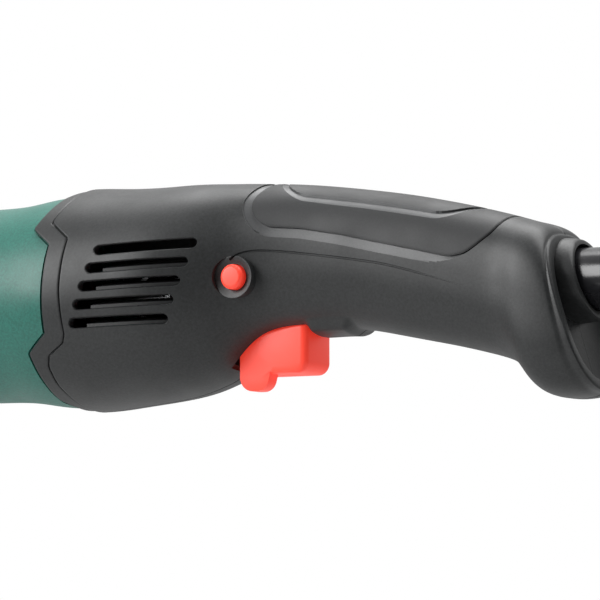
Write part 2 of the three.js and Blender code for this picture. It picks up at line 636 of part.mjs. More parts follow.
function frontHandle(parent) {
  const { half, height, r } = LOOP;
  const z0 = PIVOT_Z + 25;
  const corner = 34;
  const path = new THREE.CurvePath();
  const v = (y, z) => new THREE.Vector3(HANDLE_X, y, z);
  const points = [v(-half + 9, z0), v(-half, z0 + 30), v(-half, height - corner)];
  for (let i = 1; i <= 4; i++) {
    const a = Math.PI - (i * Math.PI) / 8;
    points.push(v(-half + corner + corner * Math.cos(a), height - corner + corner * Math.sin(a)));
  }
  const mirrored = points.slice().reverse().map((p) => v(-p.y, p.z));
  path.add(new THREE.CatmullRomCurve3([...points, ...mirrored], false, "centripetal"));
  const tube = new THREE.Shape().absarc(0, 0, r, 0, 2 * Math.PI, false);
  const arch = solid(
    new THREE.ExtrudeGeometry(tube, { steps: 24, extrudePath: path.curves[0], curveSegments: 5 }),
  );
  const bar = prism("x", [
    [-half + 1, z0 + 6], [-half - 1, z0], [-half + 5, z0 - 6], [-20, z0 - 7.2], [20, z0 - 7.2],
    [half - 5, z0 - 6], [half + 1, z0], [half - 1, z0 + 6], [20, z0 + 8], [-20, z0 + 8],
  ], [HANDLE_X - 11, HANDLE_X + 11]);
  const lug = join(
    rod("y", 8, [-8, 8], [HANDLE_X, PIVOT_Z], 16),
    box([HANDLE_X - 8, HANDLE_X + 8], [-8, 8], [PIVOT_Z, z0]),
  );
  const loop = cut(join(arch, bar, lug), rod("y", 3.4, [-20, 20], [HANDLE_X, PIVOT_Z], 16));
  piece(parent, "front_handle_loop", loop, BLACK);

  const x = [HANDLE_X - 15, HANDLE_X + 15];
  const bore = rod("x", BOOM_R + GAP, [x[0] - CUT, x[1] + CUT], [0, 0], 20);
  let upper = join(
    box(x, [-24, 24], [GAP, 13]),
    box([HANDLE_X - 8, HANDLE_X + 8], [8.4, 15], [10, PIVOT_Z]),
    box([HANDLE_X - 8, HANDLE_X + 8], [-15, -8.4], [10, PIVOT_Z]),
    rod("y", 8, [8.4, 15], [HANDLE_X, PIVOT_Z], 16),
    rod("y", 8, [-15, -8.4], [HANDLE_X, PIVOT_Z], 16),
    box(x, [-15.5, 15.5], [GAP, 16.4]),
  );
  const drilled = [-19.4, 19.4].map((y) => rod("z", 2.3, [-30, 30], [HANDLE_X, y], 12));
  upper = cut(upper, bore, ...drilled, rod("y", 3.4, [-20, 20], [HANDLE_X, PIVOT_Z], 16));
  piece(parent, "handle_clamp_upper", upper, BLACK);
  const lower = cut(
    prism("x", [[-24, -GAP], [-24, -8], [-14, -16], [14, -16], [24, -8], [24, -GAP]], x),
    bore,
    ...drilled,
  );
  piece(parent, "handle_clamp_lower", lower, BLACK);
  [-19.4, 19.4].forEach((y, i) => {
    const shank = rod("z", 2, [-14, 13.5], [HANDLE_X, y], 10);
    const head = rod("z", 3.8, [13.3, 16.3], [HANDLE_X, y], 12);
    piece(parent, "clamp_screw_" + (i + 1), join(shank, head), STEEL);
  });
  const lobes = new THREE.Shape();
  const steps = 48;
  for (let i = 0; i < steps; i++) {
    const a = (i / steps) * 2 * Math.PI;
    const radius = 13 + 2 * Math.cos(5 * a);
    const [px, pz] = [HANDLE_X + radius * Math.cos(a), PIVOT_Z + radius * Math.sin(a)];
    if (i === 0) lobes.moveTo(px, pz);
    else lobes.lineTo(px, pz);
  }
  lobes.closePath();
  const knob = join(
    prism("y", lobes, [-31, -20]),
    rod("y", 8, [-21, -15.4], [HANDLE_X, PIVOT_Z], 20),
    rod("y", 3, [-16, 18.6], [HANDLE_X, PIVOT_Z], 12),
    rod("y", 5.6, [15.4, 18.6], [HANDLE_X, PIVOT_Z], 6),
  );
  piece(parent, "handle_knob", knob, BLACK);
}

// ---- Gearbox and cutting head ----

// Half angles of the two pitch cones.
const PINION_CONE = Math.atan2(Math.sin(TURN * RAD), TEETH[1] / TEETH[0] + Math.cos(TURN * RAD));
const GEAR_CONE = TURN * RAD - PINION_CONE;

// A straight bevel gear whose cone's tip is at the origin and whose axis runs along +Z.
// phase turns it by that part of one tooth.
function bevelGear(teeth, cone, phase) {
  const pitch = (2 * Math.PI) / teeth;
  const pitchR = CONE_R * Math.sin(cone);
  const module = (2 * pitchR) / teeth;
  const rows = [];
  for (const reach of [CONE_R, CONE_R - FACE_WIDTH]) {
    const scale = reach / CONE_R;
    const row = [];
    for (let i = 0; i < teeth; i++)
      for (const [at, high] of [[-0.27, -1], [-0.13, 0.75], [0.13, 0.75], [0.27, -1]]) {
        const a = (i + at + phase) * pitch;
        const r = pitchR + high * module * Math.cos(cone);
        const z = CONE_R * Math.cos(cone) - high * module * Math.sin(cone);
        row.push([r * scale * Math.cos(a), r * scale * Math.sin(a), z * scale]);
      }
    rows.push(row);
  }
  const n = teeth * 4;
  const positions = [...rows[0].flat(), ...rows[1].flat()];
  const hub = (row) => row.reduce((sum, p) => sum + p[2], 0) / n;
  positions.push(0, 0, hub(rows[0]), 0, 0, hub(rows[1]));
  const index = [];
  for (let i = 0; i < n; i++) {
    const k = (i + 1) % n;
    index.push(i, k, n + k, i, n + k, n + i, 2 * n, k, i, 2 * n + 1, n + i, n + k);
  }
  const g = new THREE.BufferGeometry();
  return g.setAttribute("position", new THREE.Float32BufferAttribute(positions, 3)).setIndex(index);
}

function gearbox(rear, head) {
  // The pinion's cone opens towards the motor: its +Z is turned to -X.
  const pinion = solid(bevelGear(TEETH[0], PINION_CONE, 0).rotateY(-Math.PI / 2).translate(GEAR_X, 0, 0));
  const stub = rod("x", 6, [GEAR_X - CONE_R - 2, GEAR_X - 20], [0, 0], 20);
  piece(rear, "bevel_pinion", join(pinion, stub), STEEL);
  // In the head's frame the gear's cone opens upwards, and the pinion meets it at -X.
  const gear = cut(
    solid(bevelGear(TEETH[1], GEAR_CONE, 0.5).rotateZ(Math.PI)),
    rod("z", SPINDLE_R + FIT, [-50, 50], [0, 0], 20),
  );
  piece(head, "bevel_gear", gear, STEEL);
  const spindle = join(
    rod("z", SPINDLE_R, [SPOOL_Z[0] + 14, 31], [0, 0], 20),
    rod("z", 12, [SPOOL_Z[1] + 1, SPOOL_Z[1] + 4], [0, 0], 16),
  );
  piece(head, "output_spindle", spindle, STEEL);
  piece(head, "output_bearing", ring("z", SPINDLE_R + FIT, 13, [-36, -26], 16), STEEL);

  // The case is drawn in the head's frame and carries a socket that runs back along the boom.
  const body = turned("z", [
    [0, 38], [12, 36.5], [20, 31], [25, 22], [27, 8], [25, -8], [21, -20], [18, -30], [18, -46], [0, -46],
  ], 20);
  const toHead = new THREE.Matrix4().makeRotationY((90 - TURN) * RAD);
  const alongBoom = (r, a, b, n = 16) => {
    const g = new THREE.CylinderGeometry(r, r, b - a, n).rotateZ(-Math.PI / 2);
    return solid(g.translate((a + b) / 2, 0, 0).applyMatrix4(toHead));
  };
  let housing = join(body, alongBoom(17, -64, -8), alongBoom(20, -26, -10));
  const hollow = turned("z", [
    [0, 33.4], [14, 33.4], [19.5, 27], [21.6, 16], [20, 0], [14, -12], [10, -20], [0, -20],
  ], 20);
  housing = cut(
    housing,
    hollow,
    alongBoom(BOOM_R + GAP, -70, BOOM_X[1] - GEAR_X + GAP, 20),
    alongBoom(BOOM_R - 0.6, -40, -10, 20),
    rod("z", 13 + GAP, [-50, -25.7], [0, 0], 20),
    rod("z", SPINDLE_R + 1.2, [-30, -10], [0, 0], 20),
  );
  // Cooling ribs on top.
  const dome = turned("z", [[0, 41], [14, 39.5], [23, 33], [28, 22], [0, 22]], 16);
  for (const y of [-10, 0, 10])
    housing = join(housing, box([-16, 18], [y - 1, y + 1], [26, 37]).intersect(dome));
  housing = cut(housing, hollow);
  piece(head, "gearbox_housing", housing, ALLOY);
}

function guard(head) {
  const [top, bottom] = [-50, -92];
  const t = 3;
  const dish = turned("z", [
    [19, top + 4], [40, top + 2], [90, top - 3], [118, top - 9], [GUARD_R, top - 22], [GUARD_R + 2, bottom],
    [GUARD_R - 1, bottom], [GUARD_R - t, top - 22 - 1], [117, top - 9 - t], [90, top - 3 - t],
    [40, top + 2 - t], [19, top + 4 - t],
  ], 36);
  // The guard reaches 66 degrees to each side of straight back, and wraps the gearbox's neck.
  const wedge = prism("z", sectorShape(0.01, 200, 114, 246), [-120, -20], 8);
  const neck = ring("z", 18 + GAP, 24, [-54, -36], 20);
  let shell = join(dish.intersect(wedge), neck);
  shell = cut(shell, rod("z", 18 + GAP, [-120, 0], [0, 0], 20));
  for (const a of [138, 180, 222]) {
    const bar = box([22, 112], [-1.5, 1.5], [top - 1, top + 6]);
    shell = join(shell, bar.intersect(ribWedge()).rotate([0, 0, a]));
  }
  piece(head, "guard", shell, BLACK);
  const a = 116 * RAD;
  const blade = prism("z", [[0, -2.5], [20, -2.5], [34, 6], [34, 8], [0, 8]], [-1, 1])
    .rotate([90, 0, 0])
    .rotate([0, 0, 116])
    .translate([(GUARD_R - 40) * Math.cos(a) + 6, (GUARD_R - 40) * Math.sin(a), bottom + 4]);
  piece(head, "line_cutter", blade, STEEL);
}

// A low stiffening rib, tapering outwards.
const ribWedge = () => prism("y", [[20, -58], [20, -43], [60, -46], [112, -56], [112, -60]], [-3, 3]);

function spoolHead(head) {
  const [z0, z1] = SPOOL_Z;
  let cup = turned("z", [
    [0, z1], [22, z1], [38, z1 - 4], [SPOOL_R, z1 - 13], [SPOOL_R, z0 + 4], [SPOOL_R - 3, z0], [31, z0],
    [31, z0 + 3], [SPOOL_R - 4, z0 + 5], [SPOOL_R - 3, z1 - 14], [36, z1 - 8], [20, z1 - 5], [0, z1 - 5],
  ], 24);
  cup = cut(cup, rod("z", SPINDLE_R + GAP, [z1 - 10, z1 + 5], [0, 0], 20));
  for (const side of [-1, 1])
    cup = cut(cup, rod("y", 3.2, side > 0 ? [38, 50] : [-50, -38], [0, (z0 + z1) / 2 - 1], 14));
  for (let i = 0; i < 8; i++) {
    const groove = rod("z", 5, [z0 - 2, z1 - 18], [SPOOL_R + 3, 0], 8).rotate([0, 0, i * 45 + 22.5]);
    cup = cut(cup, groove);
  }
  piece(head, "spool_housing", cup, BLACK);
  // The spool's middle flange keeps the two windings apart, and its hub holds the spring.
  const spool = turned("z", [
    [14, z1 - 15], [33, z1 - 15], [33, z1 - 17], [18, z1 - 17], [18, z1 - 26], [33, z1 - 26], [33, z1 - 28],
    [18, z1 - 28], [18, z0 + 9], [33, z0 + 9], [33, z0 + 6.6], [7, z0 + 6.6], [7, z1 - 27], [14, z1 - 27],
  ], 20);
  piece(head, "line_spool", spool, NYLON);
  // A domed tap knob with a flat end, free to slide along the spindle.
  const knob = turned("z", [
    [0, z0 - 12], [14, z0 - 12], [22, z0 - 10], [27, z0 - 5], [28.6, z0 + 1], [28.6, z0 + 5.6],
    [25, z0 + 5.6], [25, z0 - 2], [20, z0 - 6], [0, z0 - 6],
  ], 20);
  piece(head, "tap_knob", knob, BLACK);
  piece(head, "tap_spring", spring("z", 11, 0.9, [z1 - 26.6, z1 - 5.3], 4), STEEL);
  const lineZ = (z0 + z1) / 2 - 1;
  for (const [side, name] of [[1, "left"], [-1, "right"]]) {
    const eyelet = ring("z", 1.5, 4.2, [0, 1.4], 16);
    const sleeve = join(eyelet, ring("z", 1.5, 2.9, [-5, 0.5], 16)).rotate([-90 * side, 0, 0]);
    piece(head, "line_eyelet_" + name, sleeve.translate([0, side * (SPOOL_R + 0.5), lineZ]), STEEL);
    const span = side > 0 ? [36, SPOOL_R + 30] : [-SPOOL_R - 30, -36];
    piece(head, "line_end_" + name, rod("y", 1.2, span, [0, lineZ], 8), NYLON);
  }
}

// ---- Assembly ----

const trimmer = new THREE.Group();
const rearUnit = new THREE.Group();
rearUnit.position.x = JOINT_X;
trimmer.add(rearUnit);
const headUnit = new THREE.Group();
headUnit.position.x = JOINT_X + GEAR_X;
headUnit.rotation.y = -(90 - TURN) * RAD;
trimmer.add(headUnit);

motorHousing(rearUnit);
rearCap(rearUnit);
motorInside(rearUnit);
handleShells(rearUnit);
controls(rearUnit);
driveLine(rearUnit);
strapClamp(trimmer);
frontHandle(rearUnit);
gearbox(rearUnit, headUnit);
guard(headUnit);
spoolHead(headUnit);

export default trimmer;
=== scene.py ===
import math

import bpy
import numpy as np
from mathutils import Matrix, Vector


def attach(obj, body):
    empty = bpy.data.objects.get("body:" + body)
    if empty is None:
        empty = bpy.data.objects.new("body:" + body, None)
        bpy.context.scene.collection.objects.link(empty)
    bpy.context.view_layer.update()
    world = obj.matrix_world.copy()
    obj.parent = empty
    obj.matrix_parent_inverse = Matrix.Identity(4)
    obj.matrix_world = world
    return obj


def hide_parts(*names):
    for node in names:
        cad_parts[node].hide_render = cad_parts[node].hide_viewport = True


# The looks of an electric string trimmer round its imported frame. Shapes are drawn in millimetres, in the
# frame of the rear unit or of the cutting head, and placed in the part's frame in metres.

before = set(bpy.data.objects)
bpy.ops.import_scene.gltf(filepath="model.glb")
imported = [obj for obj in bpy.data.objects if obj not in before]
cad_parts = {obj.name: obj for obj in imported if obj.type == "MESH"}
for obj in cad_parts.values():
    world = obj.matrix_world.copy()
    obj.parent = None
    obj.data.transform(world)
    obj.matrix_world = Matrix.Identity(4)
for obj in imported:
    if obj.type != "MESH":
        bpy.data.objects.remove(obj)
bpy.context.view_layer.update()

REAR_X = -330  # where the rear unit's origin lies on the part's X axis
HEAD_X = 892  # where the boom's axis and the spindle's axis cross
BOOM_LEAN = 35  # the boom's angle to the cutting head, in degrees
MM = Matrix.Scale(0.001, 4)
REAR = Matrix.Translation((REAR_X / 1000, 0, 0)) @ MM
HEAD = Matrix.Translation((HEAD_X / 1000, 0, 0)) @ Matrix.Rotation(math.radians(-BOOM_LEAN), 4, "Y") @ MM


def add_object(name, data):
    made = bpy.data.objects.new(name, data)
    bpy.context.scene.collection.objects.link(made)
    return made


def new_node(tree, kind, values=()):
    """A shader node with its inputs' values, given as (name, value) pairs."""
    node = tree.nodes.new("ShaderNode" + kind)
    for name, value in values:
        node.inputs[name].default_value = value
    return node


def span(tree, value, low, high, source=(0.3, 0.7)):
    """Spreads a range of values, such as a noise's middle range, over another range."""
    low_in, high_in = source
    ends = [("From Min", low_in), ("From Max", high_in), ("To Min", low), ("To Max", high)]
    node = new_node(tree, "MapRange", ends)
    tree.links.new(value, node.inputs["Value"])
    return node.outputs["Result"]


# ---- Camera and light ----

CAMERA_TARGET = Vector((-0.2252, 0, -0.0027))
CAMERA_AZIMUTH = math.radians(30)
CAMERA_ELEVATION = math.radians(-4.5)
CAMERA_DISTANCE = 2.5
FLOOR_Z = -0.42


def set_camera():
    data = bpy.data.cameras.new("camera")
    data.sensor_width = 36
    data.lens = 391.7
    data.clip_end = 100
    camera = add_object("camera", data)
    back = Vector((
        math.sin(CAMERA_AZIMUTH) * math.cos(CAMERA_ELEVATION),
        -math.cos(CAMERA_AZIMUTH) * math.cos(CAMERA_ELEVATION),
        math.sin(CAMERA_ELEVATION),
    ))
    camera.location = CAMERA_TARGET + back * CAMERA_DISTANCE
    camera.rotation_mode = "QUATERNION"
    camera.rotation_quaternion = (-back).to_track_quat("-Z", "Y")
    bpy.context.scene.camera = camera


def area_light(name, location, size, power):
    data = bpy.data.lights.new(name, "AREA")
    data.shape = "RECTANGLE"
    data.size, data.size_y = size
    data.energy = power
    light = add_object(name, data)
    light.location = location
    light.rotation_mode = "QUATERNION"
    light.rotation_quaternion = (CAMERA_TARGET - Vector(location)).to_track_quat("-Z", "Y")


def set_world():
    """A studio that the camera sees as white, and that lights the object most from above and behind."""
    world = bpy.data.worlds.new("studio")
    bpy.context.scene.world = world
    world.use_nodes = True
    tree = world.node_tree
    links = tree.links
    tree.nodes.clear()
    coordinates = new_node(tree, "TexCoord")
    toward = new_node(tree, "VectorMath", [(1, (-0.44, 0.78, 0.42))])
    toward.operation = "DOT_PRODUCT"
    links.new(coordinates.outputs["Generated"], toward.inputs[0])
    dim = new_node(tree, "Background")
    links.new(span(tree, toward.outputs["Value"], 0.03, 1.0, (-0.5, 0.9)), dim.inputs["Strength"])
    white = new_node(tree, "Background", [("Color", (1, 1, 1, 1)), ("Strength", 1.0)])
    path = new_node(tree, "LightPath")
    mix = new_node(tree, "MixShader")
    links.new(path.outputs["Is Camera Ray"], mix.inputs[0])
    links.new(dim.outputs[0], mix.inputs[1])
    links.new(white.outputs[0], mix.inputs[2])
    output = new_node(tree, "OutputWorld")
    links.new(mix.outputs[0], output.inputs["Surface"])


set_camera()
area_light("key", (-1.2, -1.15, 0.66), (0.9, 1.0), 25)
area_light("top", (-0.1, 0.35, 1.5), (2.2, 1.0), 34)
set_world()
bpy.context.scene.view_settings.view_transform = "Standard"

# ---- Materials ----


def new_material(name):
    material = bpy.data.materials.new("look_" + name)
    material.use_nodes = True
    tree = material.node_tree
    return material, tree, tree.nodes["Principled BSDF"]


def noise(tree, scale, detail=2.0, roughness=0.5, stretch=None):
    """Noise over the object's own coordinates, in metres; stretch squeezes it along an axis."""
    vector = new_node(tree, "TexCoord").outputs["Object"]
    texture = new_node(tree, "TexNoise", [("Scale", scale), ("Detail", detail), ("Roughness", roughness)])
    if stretch:
        mapping = new_node(tree, "Mapping", [("Scale", stretch)])
        tree.links.new(vector, mapping.inputs["Vector"])
        vector = mapping.outputs["Vector"]
    tree.links.new(vector, texture.inputs["Vector"])
    return texture.outputs["Fac"]


def ramp(tree, value, stops):
    node = new_node(tree, "ValToRGB")
    elements = node.color_ramp.elements
    elements[0].position, elements[0].color = stops[0][0], (*stops[0][1], 1)
    elements[1].position, elements[1].color = stops[-1][0], (*stops[-1][1], 1)
    for position, colour in stops[1:-1]:
        elements.new(position).color = (*colour, 1)
    tree.links.new(value, node.inputs["Fac"])
    return node.outputs["Color"]


def bump(tree, shader, layers):
    """Bump layers, each (height, strength, depth in metres), stacked on the shader's normal."""
    last = None
    for height, strength, depth in layers:
        node = new_node(tree, "Bump", [("Strength", strength), ("Distance", depth)])
        tree.links.new(height, node.inputs["Height"])
        if last:
            tree.links.new(last, node.inputs["Normal"])
        last = node.outputs["Normal"]
    tree.links.new(last, shader.inputs["Normal"])


def shade(colour, factor):
    return tuple(min(1.0, c * factor) for c in colour)


def moulded(name, colour, roughness, grain, depth=0.00006, fleck=0.16, strength=0.5, waves=0.05):
    """Moulded plastic: a fine spark-eroded grain, a slight fleck in the colour, broad patches of polish."""
    material, tree, shader = new_material(name)
    grained = noise(tree, grain, 3.0, 0.65)
    broad = noise(tree, 60.0, 2.0)
    stops = [(0.32, shade(colour, 1 - fleck)), (0.5, colour), (0.68, shade(colour, 1 + fleck))]
    tone = ramp(tree, grained, stops)
    tree.links.new(tone, shader.inputs["Base Color"])
    tree.links.new(span(tree, broad, roughness - 0.05, roughness + 0.05), shader.inputs["Roughness"])
    layers = [(grained, strength, depth)]
    bump(tree, shader, [(broad, waves, 0.0005), *layers] if waves else layers)
    return material


def metal(name, colour, roughness, grain=700.0, stretch=(1, 1, 1), depth=0.00002):
    """Machined or cast metal: streaks or grain in the finish, with small changes of tone."""
    material, tree, shader = new_material(name)
    grained = noise(tree, grain, 4.0, 0.6, stretch)
    broad = noise(tree, 45.0, 3.0)
    tone = ramp(tree, broad, [(0.3, shade(colour, 0.82)), (0.7, shade(colour, 1.1))])
    tree.links.new(tone, shader.inputs["Base Color"])
    shader.inputs["Metallic"].default_value = 1.0
    tree.links.new(span(tree, grained, roughness - 0.08, roughness + 0.1), shader.inputs["Roughness"])
    bump(tree, shader, [(grained, 0.5, depth)])
    return material


def wound(name, colour):
    """Enamelled copper wire, wound in close turns."""
    material, tree, shader = new_material(name)
    coordinates = new_node(tree, "TexCoord")
    wave = new_node(tree, "TexWave", [("Scale", 420.0), ("Distortion", 1.2)])
    tree.links.new(coordinates.outputs["Object"], wave.inputs["Vector"])
    tone = ramp(tree, wave.outputs["Fac"], [(0.1, shade(colour, 0.45)), (0.7, colour)])
    tree.links.new(tone, shader.inputs["Base Color"])
    shader.inputs["Metallic"].default_value = 0.9
    shader.inputs["Roughness"].default_value = 0.38
    bump(tree, shader, [(wave.outputs["Fac"], 0.8, 0.0002)])
    return material


TEAL = moulded("teal_plastic", (0.018, 0.140, 0.108), 0.42, grain=1100.0, fleck=0.22, strength=0.45)
BLACK = moulded("black_plastic", (0.021, 0.0225, 0.023), 0.46, grain=1000.0, fleck=0.3, strength=0.6)
PAINTED_SHEEN_GREY = (0.075, 0.077, 0.079)  # the smooth channels' colour, greyer than the grained skin: a painted sheen that stands in for the light on them
SMOOTH_SHEEN_BLACK = moulded("smooth_sheen_black", PAINTED_SHEEN_GREY, 0.36, grain=1500.0, fleck=0.1, strength=0.2)
SOFT = moulded("soft_grip", (0.019, 0.020, 0.021), 0.55, grain=1400.0, fleck=0.16, strength=0.4)
SOFT_SHEEN_BAND = moulded("soft_sheen_band", PAINTED_SHEEN_GREY, 0.4, grain=1500.0, fleck=0.1, strength=0.2)
RED = moulded("red_plastic", (0.95, 0.085, 0.05), 0.38, grain=1500.0, fleck=0.05, strength=0.25,
              depth=0.00004)
# The red carries a painted glow: an emission, standing in for a fluorescent pigment, that makes it brighter
# than the light that falls on it.
red_glow_shader = RED.node_tree.nodes["Principled BSDF"]
red_glow_shader.inputs["Emission Color"].default_value = (1.0, 0.035, 0.018, 1)
red_glow_shader.inputs["Emission Strength"].default_value = 0.38
SWITCH = moulded("switch_plastic", (0.018, 0.018, 0.02), 0.35, grain=1800.0, fleck=0.1, strength=0.25)
PAINT = moulded("boom_paint", (0.016, 0.016, 0.018), 0.22, grain=500.0, fleck=0.08, strength=0.12,
                depth=0.00003, waves=0)
STEEL = metal("steel", (0.52, 0.53, 0.54), 0.32, stretch=(0.15, 1, 1))
DARK_STEEL = metal("dark_steel", (0.09, 0.093, 0.098), 0.42, grain=900.0)
ALLOY = metal("cast_alloy", (0.33, 0.34, 0.35), 0.5, grain=1200.0, depth=0.00006)
COPPER = wound("copper_wire", (0.62, 0.24, 0.1))
BARS = metal("copper_bars", (0.66, 0.3, 0.15), 0.3, stretch=(0.2, 1, 1))
CARBON = moulded("carbon", (0.012, 0.012, 0.013), 0.7, grain=2200.0, fleck=0.25)
NYLON = moulded("line_nylon", (0.72, 0.16, 0.03), 0.3, grain=400.0, fleck=0.06, strength=0.15)
CREAM = moulded("white_plastic", (0.68, 0.62, 0.5), 0.45, grain=1400.0, fleck=0.05, strength=0.25)

# ---- Mesh making ----


def raw(verts, faces, name="raw"):
    mesh = bpy.data.meshes.new(name)
    faces = [tuple(int(i) for i in face) for face in faces]
    mesh.from_pydata([tuple(v) for v in np.asarray(verts, float)], [], faces)
    mesh.update()
    return add_object(name, mesh)


def grid(rows, closed_loop=False):
    """A solid from rings of points, each ring closed: capped at its two ends, or joined end to end."""
    rows = np.asarray(rows, float)
    count, around = rows.shape[:2]
    index = np.arange(count * around).reshape(count, around)
    last = count if closed_loop else count - 1
    a, b = index[np.arange(last)], index[(np.arange(last) + 1) % count]
    faces = np.stack([a, b, np.roll(b, -1, 1), np.roll(a, -1, 1)], -1).reshape(-1, 4).tolist()
    verts = rows.reshape(-1, 3)
    if not closed_loop:
        centres = [rows[0].mean(0), rows[-1].mean(0)]
        verts = np.vstack([verts, centres])
        first, final = count * around, count * around + 1
        for j in range(around):
            k = (j + 1) % around
            faces.append((first, index[0, j], index[0, k]))
            faces.append((final, index[-1, k], index[-1, j]))
    made = raw(verts, faces)
    outward(made)
    return made


def outward(made):
    """Turns a closed mesh's faces out, by the sign of its volume."""
    mesh = made.data
    mesh.calc_loop_triangles()
    co = np.array([v.co for v in mesh.vertices], float)
    tri = np.array([t.vertices for t in mesh.loop_triangles])
    p, q, r = co[tri[:, 0]], co[tri[:, 1]], co[tri[:, 2]]
    if np.einsum("ij,ij->i", p, np.cross(q, r)).sum() < 0:
        mesh.flip_normals()


def boolean(target, operation, *tools):
    for tool in tools:
        modifier = target.modifiers.new("join_or_cut", "BOOLEAN")
        modifier.operation = operation
        modifier.solver = "MANIFOLD"
        modifier.object = tool
    apply_modifiers(target)
    for tool in tools:
        remove(tool)
    return target


def cut(target, *tools):
    return boolean(target, "DIFFERENCE", *tools)


def join(target, *tools):
    return boolean(target, "UNION", *tools)


def common(target, *tools):
    return boolean(target, "INTERSECT", *tools)


def remove(made):
    mesh = made.data
    bpy.data.objects.remove(made)
    bpy.data.meshes.remove(mesh)


def apply_modifiers(made):
    graph = bpy.context.evaluated_depsgraph_get()
    mesh = bpy.data.meshes.new_from_object(made.evaluated_get(graph))
    old = made.data
    made.modifiers.clear()
    made.data = mesh
    bpy.data.meshes.remove(old)
    return made


def bevelled(made, width, segments=2, angle=30):
    modifier = made.modifiers.new("edge", "BEVEL")
    modifier.width = width
    modifier.segments = segments
    modifier.limit_method = "ANGLE"
    modifier.angle_limit = math.radians(angle)
    return apply_modifiers(made)


def copy_of(made):
    return add_object(made.name, made.data.copy())


def flipped(made):
    """The piece mirrored to the -Y side."""
    made.data.transform(Matrix.Scale(-1, 4, (0, 1, 0)))
    made.data.flip_normals()
    return made


def spun(made, degrees, axis):
    """The piece turned about an axis through the origin."""
    made.data.transform(Matrix.Rotation(math.radians(degrees), 4, axis))
    return made


def piece(made, name, body, material, replaces, place=REAR, angle=32, extra=None):
    """Finishes a piece: places it, smooths it, gives it its material and its body."""
    made.name = name
    made.data.name = name
    made.data.transform(place)
    made.data.materials.clear()
    made.data.materials.append(material)
    if extra:
        extra(made)
    made.data.shade_smooth()
    made.data.set_sharp_from_angle(angle=math.radians(angle))
    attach(made, body)
    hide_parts(replaces)


def fine(node, made, body, material, place=REAR):
    """A detailed piece that stands for the CAD node of the same name."""
    piece(made, node + "_fine", body, material, node, place)


def fillet(points, radius, steps=4, closed=True):
    """A polyline with its corners rounded. Each point may carry its own radius as a last number."""
    points = [tuple(p) for p in points]
    n = len(points)
    made = []
    for i, p in enumerate(points):
        r = p[2] if len(p) > 2 else radius
        here = np.array(p[:2], float)
        if r <= 0 or (not closed and i in (0, n - 1)):
            made.append(here)
            continue
        before = np.array(points[i - 1][:2], float) - here
        after = np.array(points[(i + 1) % n][:2], float) - here
        la, lb = np.linalg.norm(before), np.linalg.norm(after)
        before, after = before / la, after / lb
        half = math.acos(max(-1.0, min(1.0, float(before @ after)))) / 2
        if half > math.pi / 2 - 0.02:
            made.append(here)
            continue
        reach = min(r / math.tan(half), la * 0.49, lb * 0.49)
        r = reach * math.tan(half)
        middle = (before + after) / np.linalg.norm(before + after) * (r / math.sin(half)) + here
        start, end = here + before * reach - middle, here + after * reach - middle
        turn = math.atan2(start[0] * end[1] - start[1] * end[0], float(start @ end))
        for k in range(steps + 1):
            a = turn * k / steps
            c, s = math.cos(a), math.sin(a)
            made.append(middle + np.array([start[0] * c - start[1] * s, start[0] * s + start[1] * c]))
    return np.array(made)


def circle(r, n=48, centre=(0.0, 0.0)):
    a = np.arange(n) * 2 * math.pi / n
    return np.stack([centre[0] + r * np.cos(a), centre[1] + r * np.sin(a)], -1)


def on_axis(axis, uv, w):
    """Points with two coordinates across an axis and one along it."""
    u, v = uv[..., 0], uv[..., 1]
    w = np.broadcast_to(w, u.shape)
    order = {"x": (w, u, v), "y": (u, w, v), "z": (u, v, w)}[axis]
    return np.stack(order, -1)


def prism(axis, outline, low, high, edge=0.0, segments=2):
    made = grid([on_axis(axis, np.asarray(outline, float), end) for end in (low, high)])
    return bevelled(made, edge, segments) if edge else made


def slab(x, y, z, edge=0.0, segments=2):
    corners = [(x[0], y[0]), (x[1], y[0]), (x[1], y[1]), (x[0], y[1])]
    return prism("z", corners, z[0], z[1], edge, segments)


def rod(axis, r, low, high, centre=(0.0, 0.0), edge=0.0, n=48):
    return prism(axis, circle(r, n, centre), low, high, edge)


def turned(axis, profile, n=96, centre=(0.0, 0.0), radius=0.0, steps=3):
    """A closed profile of (radius, place along the axis) turned round the axis; radius rounds its corners."""
    p = fillet(profile, radius, steps) if radius else np.asarray([q[:2] for q in profile], float)
    solid_core = p[:, 0].min() < 1e-6
    if solid_core:
        p = p[p[:, 0] > 1e-6]
    rows = [on_axis(axis, circle(r, n, centre), w) for r, w in p]
    return grid(rows, closed_loop=not solid_core)


def ring(axis, inner, outer, low, high, n=96, centre=(0.0, 0.0), radius=0.0):
    profile = [(inner, low), (outer, low), (outer, high), (inner, high)]
    return turned(axis, profile, n, centre, radius)


def sweep(points, r, n, scale):
    """A round bar along a path of points, its radius scaled from point to point."""
    points = np.asarray(points, float)
    tangents = np.gradient(points, axis=0)
    tangents /= np.linalg.norm(tangents, axis=1)[:, None]
    side = np.cross(tangents[0], [0.3, 0.9, 0.31])
    side /= np.linalg.norm(side)
    rows = []
    for i, (p, t) in enumerate(zip(points, tangents)):
        side = side - t * (side @ t)
        side /= np.linalg.norm(side)
        other = np.cross(t, side)
        a = np.arange(n) * 2 * math.pi / n
        rows.append(p + r * scale[i] * (np.outer(np.cos(a), side) + np.outer(np.sin(a), other)))
    return grid(rows)


def natural_spline(values):
    """A natural cubic spline through rows of values at 0, 1, 2 and so on."""
    v = np.asarray(values, float)
    n = len(v)
    matrix = 4 * np.eye(n - 2) + np.eye(n - 2, k=1) + np.eye(n - 2, k=-1)
    curve = np.zeros_like(v)
    curve[1:-1] = np.linalg.solve(matrix, 6 * (v[2:] - 2 * v[1:-1] + v[:-2]))

    def at(t):
        t = np.asarray(t, float)
        i = np.clip(np.floor(t).astype(int), 0, n - 2)
        f = (t - i)[..., None]
        g = 1 - f
        return g * v[i] + f * v[i + 1] + ((g**3 - g) * curve[i] + (f**3 - f) * curve[i + 1]) / 6

    return at


